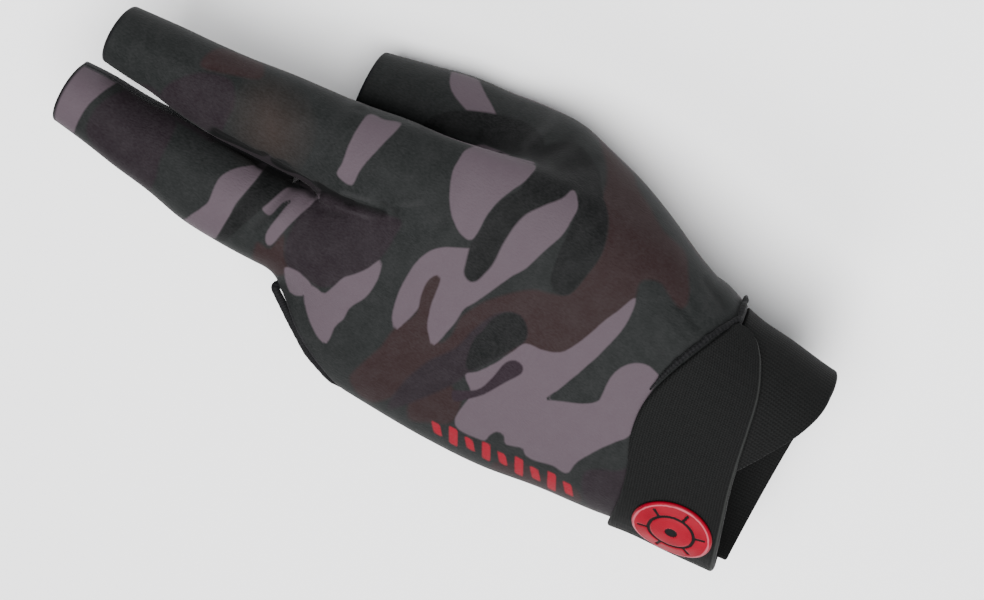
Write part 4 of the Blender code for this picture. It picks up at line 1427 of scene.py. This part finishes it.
@dataclass
class Wristband:
    """The elastic closing strap, the cuff under it, the gathered seam, hook tape and badge.

    A strap row holds an angle, the strap's hand-side and forearm-side edges as shares of its
    width, and how far it is lifted over the hook tape. A cuff row holds an angle and the
    rim's share of the cuff's length. Angles go round the wrist in degrees from the thumb
    side, cells are counted along and across a band, and an edge is how far its rounding
    reaches in. The seam fields shape the gathered seam: its first and last angle, the angle
    over which it rises to the strap's edge, a first guess at its length, its lumps' pitches
    and share of the radius, and how it thins towards its ends.
    """

    form: GloveForm
    clearance: float = 0.0003
    strap_width: float = 0.0290
    strap_wall: float = 0.0016
    cuff_length: float = 0.0275
    cuff_wall: float = 0.0015
    wrist_edge: float = 0.004
    patch_wall: float = 0.0009
    patch_width: float = 0.020
    piping_radius: float = 0.0007
    badge_radius: float = 0.0105
    badge_wall: float = 0.0009
    groove_depth: float = 0.00022
    line_height: float = 0.00008
    badge_angle: float = 125.0
    badge_drop: float = 0.004
    strap_cells: tuple[int, int] = (260, 44)
    strap_edge: float = 0.0009
    ripple_height: float = 0.00010
    ripple_rate: float = 0.9
    cuff_cells: tuple[int, int] = (240, 36)
    cuff_edge: float = 0.0007
    cuff_gap: float = 0.00035
    tape_angles: tuple[float, float] = (196.0, 240.0)
    tape_points: tuple[int, int] = (60, 28)
    tape_edge: float = 0.0004
    seam_angles: tuple[float, float] = (-30.0, 68.0)
    seam_points: int = 240
    seam_rise: float = 9.0
    seam_guess: float = 0.03
    seam_step: float = 0.0005
    seam_gap: float = 0.00012
    seam_pitches: tuple[float, float] = (0.0031, 0.0047)
    seam_lumps: float = 0.08
    seam_taper: float = 0.2
    seam_thinnest: float = 0.3
    strap_rows: tuple = (
        (15.0, 0.170, 0.070, 0.0),
        (18.0, 0.205, -0.020, 0.0),
        (24.0, 0.240, -0.100, 0.0),
        (33.0, 0.310, -0.172, 0.0),
        (44.0, 0.400, -0.240, 0.0),
        (60.0, 0.520, -0.295, 0.0),
        (76.0, 0.590, -0.345, 0.0),
        (90.0, 0.560, -0.400, 0.0),
        (103.0, 0.465, -0.465, 0.0),
        (118.0, 0.400, -0.535, 0.0),
        (140.0, 0.365, -0.615, 0.0),
        (163.0, 0.345, -0.670, 0.3),
        (190.0, 0.320, -0.690, 1.0),
        (222.0, 0.300, -0.700, 1.0),
        (246.0, 0.260, -0.680, 1.0),
        (252.0, 0.180, -0.610, 1.0),
    )
    cuff_rows: tuple = (
        (114.0, 0.10),
        (106.0, 0.22),
        (92.0, 0.40),
        (77.0, 0.58),
        (68.0, 0.68),
        (53.0, 0.84),
        (33.0, 0.97),
        (14.0, 1.00),
        (-19.0, 1.00),
        (-90.0, 1.02),
        (-150.0, 0.98),
        (-183.0, 0.94),
    )

    def build(self, cloth: Sequence[bpy.types.Object]) -> None:
        """Builds every piece of the wrist."""
        strap = self.strap()
        cuff = self.cuff()
        self.piping([*cloth, strap, cuff])
        self.hook_patch()
        self.badge()

    def edges(self, degrees: Array) -> tuple[Array, Array, Array]:
        """The strap's top y, bottom y and the height of its inner face at each angle."""
        rows = np.array(self.strap_rows).T
        top, bottom, lift = (smooth_interp(degrees, rows[0], rows[i]) for i in (1, 2, 3))
        height = self.clearance + np.clip(lift, 0, 1) * (self.patch_wall + self.clearance)
        return top * self.strap_width, bottom * self.strap_width, height

    def band(
        self, name: str, angle: Array, y: Array, lift: Array, wall: float, edge: float
    ) -> Piece:
        """A band round the wrist with rounded edges.

        The outer face falls to a third of the wall along a quarter circle within edge of
        any side. Weave coordinates are the summed steps along the rows and the columns.

        Args:
            name: the piece's name.
            angle: grid of angles, across by along.
            y: grid of places along the hand.
            lift: height of the inner face above the form.
            wall: the band's thickness.
            edge: how far the rounding reaches in from a side.

        Returns:
            The band.
        """
        inner = self.form.on_wrist(angle, y, lift)
        along = np.linalg.norm(np.diff(inner, axis=1), axis=-1)
        across = np.linalg.norm(np.diff(inner, axis=0), axis=-1)
        length = np.hstack([np.zeros((len(inner), 1)), np.cumsum(along, 1)])
        width = np.vstack([np.zeros((1, inner.shape[1])), np.cumsum(across, 0)])
        side = np.minimum.reduce([length, length[:, -1:] - length, width, width[-1:] - width])
        fall = 1 - np.clip(side / edge, 0, 1)
        outer = self.form.on_wrist(angle, y, lift + wall * (0.34 + 0.66 * np.sqrt(1 - fall**2)))
        numbers = np.arange(angle.size).reshape(angle.shape)
        flat = outer.reshape(-1, 3)
        faces = facing_out(self.form, flat, grid_faces(numbers))
        mean_length = np.broadcast_to(length[len(length) // 2], length.shape)
        weave = np.stack([mean_length, width], -1).reshape(-1, 2)
        points = np.concatenate([flat, inner.reshape(-1, 3)])
        return Piece(name, points, walled(faces, len(flat)), np.concatenate([weave, weave]))

    @staticmethod
    def dense_edges(cells: int, power: float = 1.6) -> Array:
        """Shares from 0 to 1 that crowd at both ends, more so at a higher power."""
        t = np.linspace(-1, 1, cells + 1)
        return (np.sign(t) * (1 - (1 - np.abs(t)) ** power) + 1) / 2

    def sheet(self, rows: tuple, cells: tuple[int, int], power: float) -> tuple[Array, Array]:
        """A band's grids: the angle between its first and last row, and the share across."""
        first, last = rows[0][0], rows[-1][0]
        angles = first + (last - first) * self.dense_edges(cells[0], power)
        return np.meshgrid(angles, self.dense_edges(cells[1]))

    def strap(self) -> bpy.types.Object:
        """The strap from its seam on the thumb side to its free end under the wrist."""
        angle, share = self.sheet(self.strap_rows, self.strap_cells, 1.15)
        top, bottom, height = self.edges(angle)
        y = bottom + (top - bottom) * share
        ripple = self.ripple_height * np.sin(angle * self.ripple_rate) * np.sin(share * np.pi)
        lift = height + np.maximum(ripple, 0)
        piece = self.band("wrist_strap_elastic", angle, y, lift, self.strap_wall, self.strap_edge)
        finish = Elastic("strap_elastic", 0.00070, 0.0006, True, 0.0005)
        return piece.place(finish.make(), "elastic", "wrist_strap")

    def cuff(self) -> bpy.types.Object:
        """The cuff, open on the back of the wrist under the strap."""
        angle, share = self.sheet(self.cuff_rows, self.cuff_cells, 1.2)
        rows = np.array(self.cuff_rows).T
        rim = self.wrist_edge - smooth_interp(-angle, -rows[0], rows[1]) * self.cuff_length
        start = self.wrist_edge - self.cuff_gap
        y = rim + (start - rim) * share
        lift = np.full_like(y, -self.cuff_wall)
        piece = self.band("cuff_elastic", angle, y, lift, self.cuff_wall, self.cuff_edge)
        finish = Elastic("cuff_weave", 0.00085, 0.0007, False)
        return piece.place(finish.make(), "elastic", "cuff_band")

    def piping(self, solids: Sequence[bpy.types.Object]) -> None:
        """The gathered seam along the strap's hand side: a cord with lumps, clear of the rest."""
        angle = np.linspace(*self.seam_angles, self.seam_points)
        first = self.strap_rows[0][0]
        top = self.edges(np.maximum(angle, first))[0]
        radius = self.lumps(np.linspace(0.0, self.seam_guess, self.seam_points))
        rise = (top - self.wrist_edge) * eased((angle - first) / self.seam_rise)
        y = self.wrist_edge + (radius + 2 * self.clearance) + rise
        path = self.form.on_wrist(angle, y, radius + self.clearance)
        path = evened_path(spread(path, self.seam_step, False), False, 10)
        path = kept_clear(path, solids, self.lumps(run_length(path))[:, None] + self.seam_gap)
        piece = cord_piece("strap_piping_gathers", path, self.lumps, False)
        piece.place(PuckeredEdge("gathered_seam", 0.0010).make(), "elastic", "strap_piping")

    def lumps(self, length: Array) -> Array:
        """The seam's radius: two sines of unlike length, thinner towards both ends."""
        share = length / length[-1]
        turns = [length / pitch * 2 * np.pi for pitch in self.seam_pitches]
        wave = np.sin(turns[0]) + np.sin(turns[1] + 1.0)
        rise, fall = share / self.seam_taper, (1 - share) / self.seam_taper
        ends = np.maximum(np.sqrt(np.clip(np.minimum(rise, fall), 0.0, 1.0)), self.seam_thinnest)
        return self.piping_radius * (1 + self.seam_lumps * wave) * ends

    def hook_patch(self) -> None:
        """The hook tape on the inside of the strap's free end."""
        along, across = self.tape_points
        angles, shares = np.linspace(*self.tape_angles, along), np.linspace(-0.5, 0.5, across)
        angle, share = np.meshgrid(angles, shares)
        top, bottom, _ = self.edges(angle)
        y = (top + bottom) / 2 + share * self.patch_width
        lift = np.full_like(y, self.clearance)
        piece = self.band("hook_patch_tape", angle, y, lift, self.patch_wall, self.tape_edge)
        piece.place(Elastic("hook_weave", 0.0006, 0.0006).make(), "hook_tape", "hook_patch")

    def badge(self, cells: int = 72) -> None:
        """The round badge, bent to the wrist, on the strap's outer face.

        A square grid is pressed into a disc, which is laid on the form at two heights.
        """
        form, angle = self.form, np.array([self.badge_angle])
        lift = self.edges(angle)[2][0] + self.strap_wall + self.clearance
        middle = form.on_wrist(angle, np.array([-self.badge_drop]), lift)[0]
        ahead = np.array([0.0, 1.0, 0.0])
        round_way = unit(np.cross(ahead, form.slope(middle)))
        t = np.linspace(-1, 1, cells + 1)
        u, v = np.meshgrid(t, t)
        u, v = u * np.sqrt(1 - v * v / 2), v * np.sqrt(1 - u * u / 2)
        flat = middle + self.badge_radius * (u[..., None] * round_way + v[..., None] * ahead)
        height, shares = self.badge_relief(np.hypot(u, v), np.arctan2(v, u))
        top = form.laid(flat, lift + height).reshape(-1, 3)
        points = np.concatenate([top, form.laid(flat, lift).reshape(-1, 3)])
        faces = facing_out(form, top, grid_faces(np.arange(u.size).reshape(u.shape)))
        numbers = {name: np.append(share, 0 * share) for name, share in shares.items()}
        piece = Piece("badge_disc_moulded", points, walled(faces, len(top)), None, numbers)
        piece.place(BadgeRubber().make(), "red_rubber", "badge_disc")

    def badge_relief(self, reach: Array, turn: Array) -> tuple[Array, dict[str, Array]]:
        """The badge's height, and the shares of it that are groove and pale rim line.

        A ring groove stands at ring_at of the radius, six spokes reach from it to
        spokes_end, the hub is sunk, and the edge falls along a quarter circle past rim_at.

        Args:
            reach: each point's distance from the middle, with the badge's edge at one.
            turn: its angle round the middle.

        Returns:
            The height in metres and the shares by name.
        """
        ring_at, spokes_end, hub_end, rim_at, rim_width = 0.56, 0.84, 0.16, 0.93, 0.07
        ring = self.bump(reach - ring_at, 0.055)
        spokes = self.bump(np.sin(turn * 3.0 + 0.5) / 3.0 * reach, 0.05)
        spokes = spokes * (reach > ring_at) * (reach < spokes_end)
        groove = np.clip(ring + spokes + (reach < hub_end), 0, 1)
        pale = self.bump(reach - rim_at, 0.028)
        edge = np.sqrt(1 - np.clip((reach - rim_at) / rim_width, 0, 1) ** 2)
        height = self.badge_wall * (0.35 + 0.55 * edge)
        height = height - self.groove_depth * groove + self.line_height * pale
        return height, {"groove": groove, "pale": pale}

    @staticmethod
    def bump(gap: Array, width: float) -> Array:
        """A share of one at no gap that falls off smoothly to zero within the width."""
        return 1 - eased((np.abs(gap) - width * 0.5) / (width * 0.5))


@dataclass
class Studio:
    """Floor, lights and camera. A lamp holds its name, place, size and power in watts."""

    chart: Chart
    floor_height: float = -0.041
    floor_half: float = 2.0
    floor_colour: Colour = (0.94, 0.94, 0.945)
    lamps: tuple = (
        ("key", (0.22, 0.02, 1.22), 1.1, 45.0),
        ("fill", (-0.75, -0.10, 0.80), 0.7, 9.0),
    )
    aim: tuple[float, float, float] = (0.0, 0.08, 0.0)
    surround: Colour = (0.93, 0.95, 1.0)
    surround_strength: float = 0.24
    lens: float = 100.0
    sensor: float = 36.0
    clip: tuple[float, float] = (0.01, 20.0)

    def build(self) -> None:
        """Sets the stage up."""
        self.floor()
        self.lights()
        self.camera()

    def floor(self) -> None:
        """A plain pale floor of one large quad."""
        signs = ((-1, -1), (1, -1), (1, 1), (-1, 1))
        corners = [(x * self.floor_half, y * self.floor_half, self.floor_height) for x, y in signs]
        mesh = bpy.data.meshes.new("floor")
        mesh.from_pydata(corners, [], [(0, 1, 2, 3)])
        mesh.materials.append(Finish("floor_paint", self.floor_colour, 0.9).material)
        obj = bpy.data.objects.new("floor", mesh)
        bpy.context.scene.collection.objects.link(obj)

    def lights(self) -> None:
        """Large soft lights above and a pale surround."""
        for name, place, size, power in self.lamps:
            light = bpy.data.lights.new(name, "AREA")
            light.shape, light.size, light.energy = "DISK", size, power
            obj = bpy.data.objects.new(name, light)
            back = unit(np.array(place) - self.aim)
            right = unit(np.cross([0.0, 1.0, 0.0], back))
            obj.matrix_world = pose(right, np.cross(back, right), back, np.array(place))
            bpy.context.scene.collection.objects.link(obj)
        world = bpy.data.worlds.new("surround")
        bpy.context.scene.world = world
        world.use_nodes = True
        colour, strength = world.node_tree.nodes["Background"].inputs[:2]
        colour.default_value = (*self.surround, 1.0)
        strength.default_value = self.surround_strength

    def camera(self) -> None:
        """The camera at the chart's own eye, with the chart's axes."""
        data = bpy.data.cameras.new("camera")
        data.lens, data.sensor_width = self.lens, self.sensor
        data.clip_start, data.clip_end = self.clip
        obj = bpy.data.objects.new("camera", data)
        chart = self.chart
        obj.matrix_world = pose(chart.right, chart.up, chart.out, chart.eye)
        bpy.context.scene.collection.objects.link(obj)
        bpy.context.scene.camera = obj


def pose(right: Array, up: Array, back: Array, place: Array) -> Matrix:
    """The matrix whose columns are these axes and this place."""
    rows = np.column_stack([right, up, back, place]).tolist()
    return Matrix([*rows, [0.0, 0.0, 0.0, 1.0]])


def main() -> None:
    """Builds the stage and every piece."""
    logging.basicConfig(level=logging.INFO, format="%(name)s: %(message)s")
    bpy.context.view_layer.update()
    chart, form = Chart(), GloveForm()
    Studio(chart).build()
    body = ClothBody(form, chart)
    body.build()
    cloth = [bpy.data.objects[cut.node + "_cloth"] for cut in (BACK_CUT, PALM_CUT)]
    EdgeBinding(form).build(body.rims, cloth)
    Wristband(form).build(cloth)


if __name__ == "__main__":
    main()
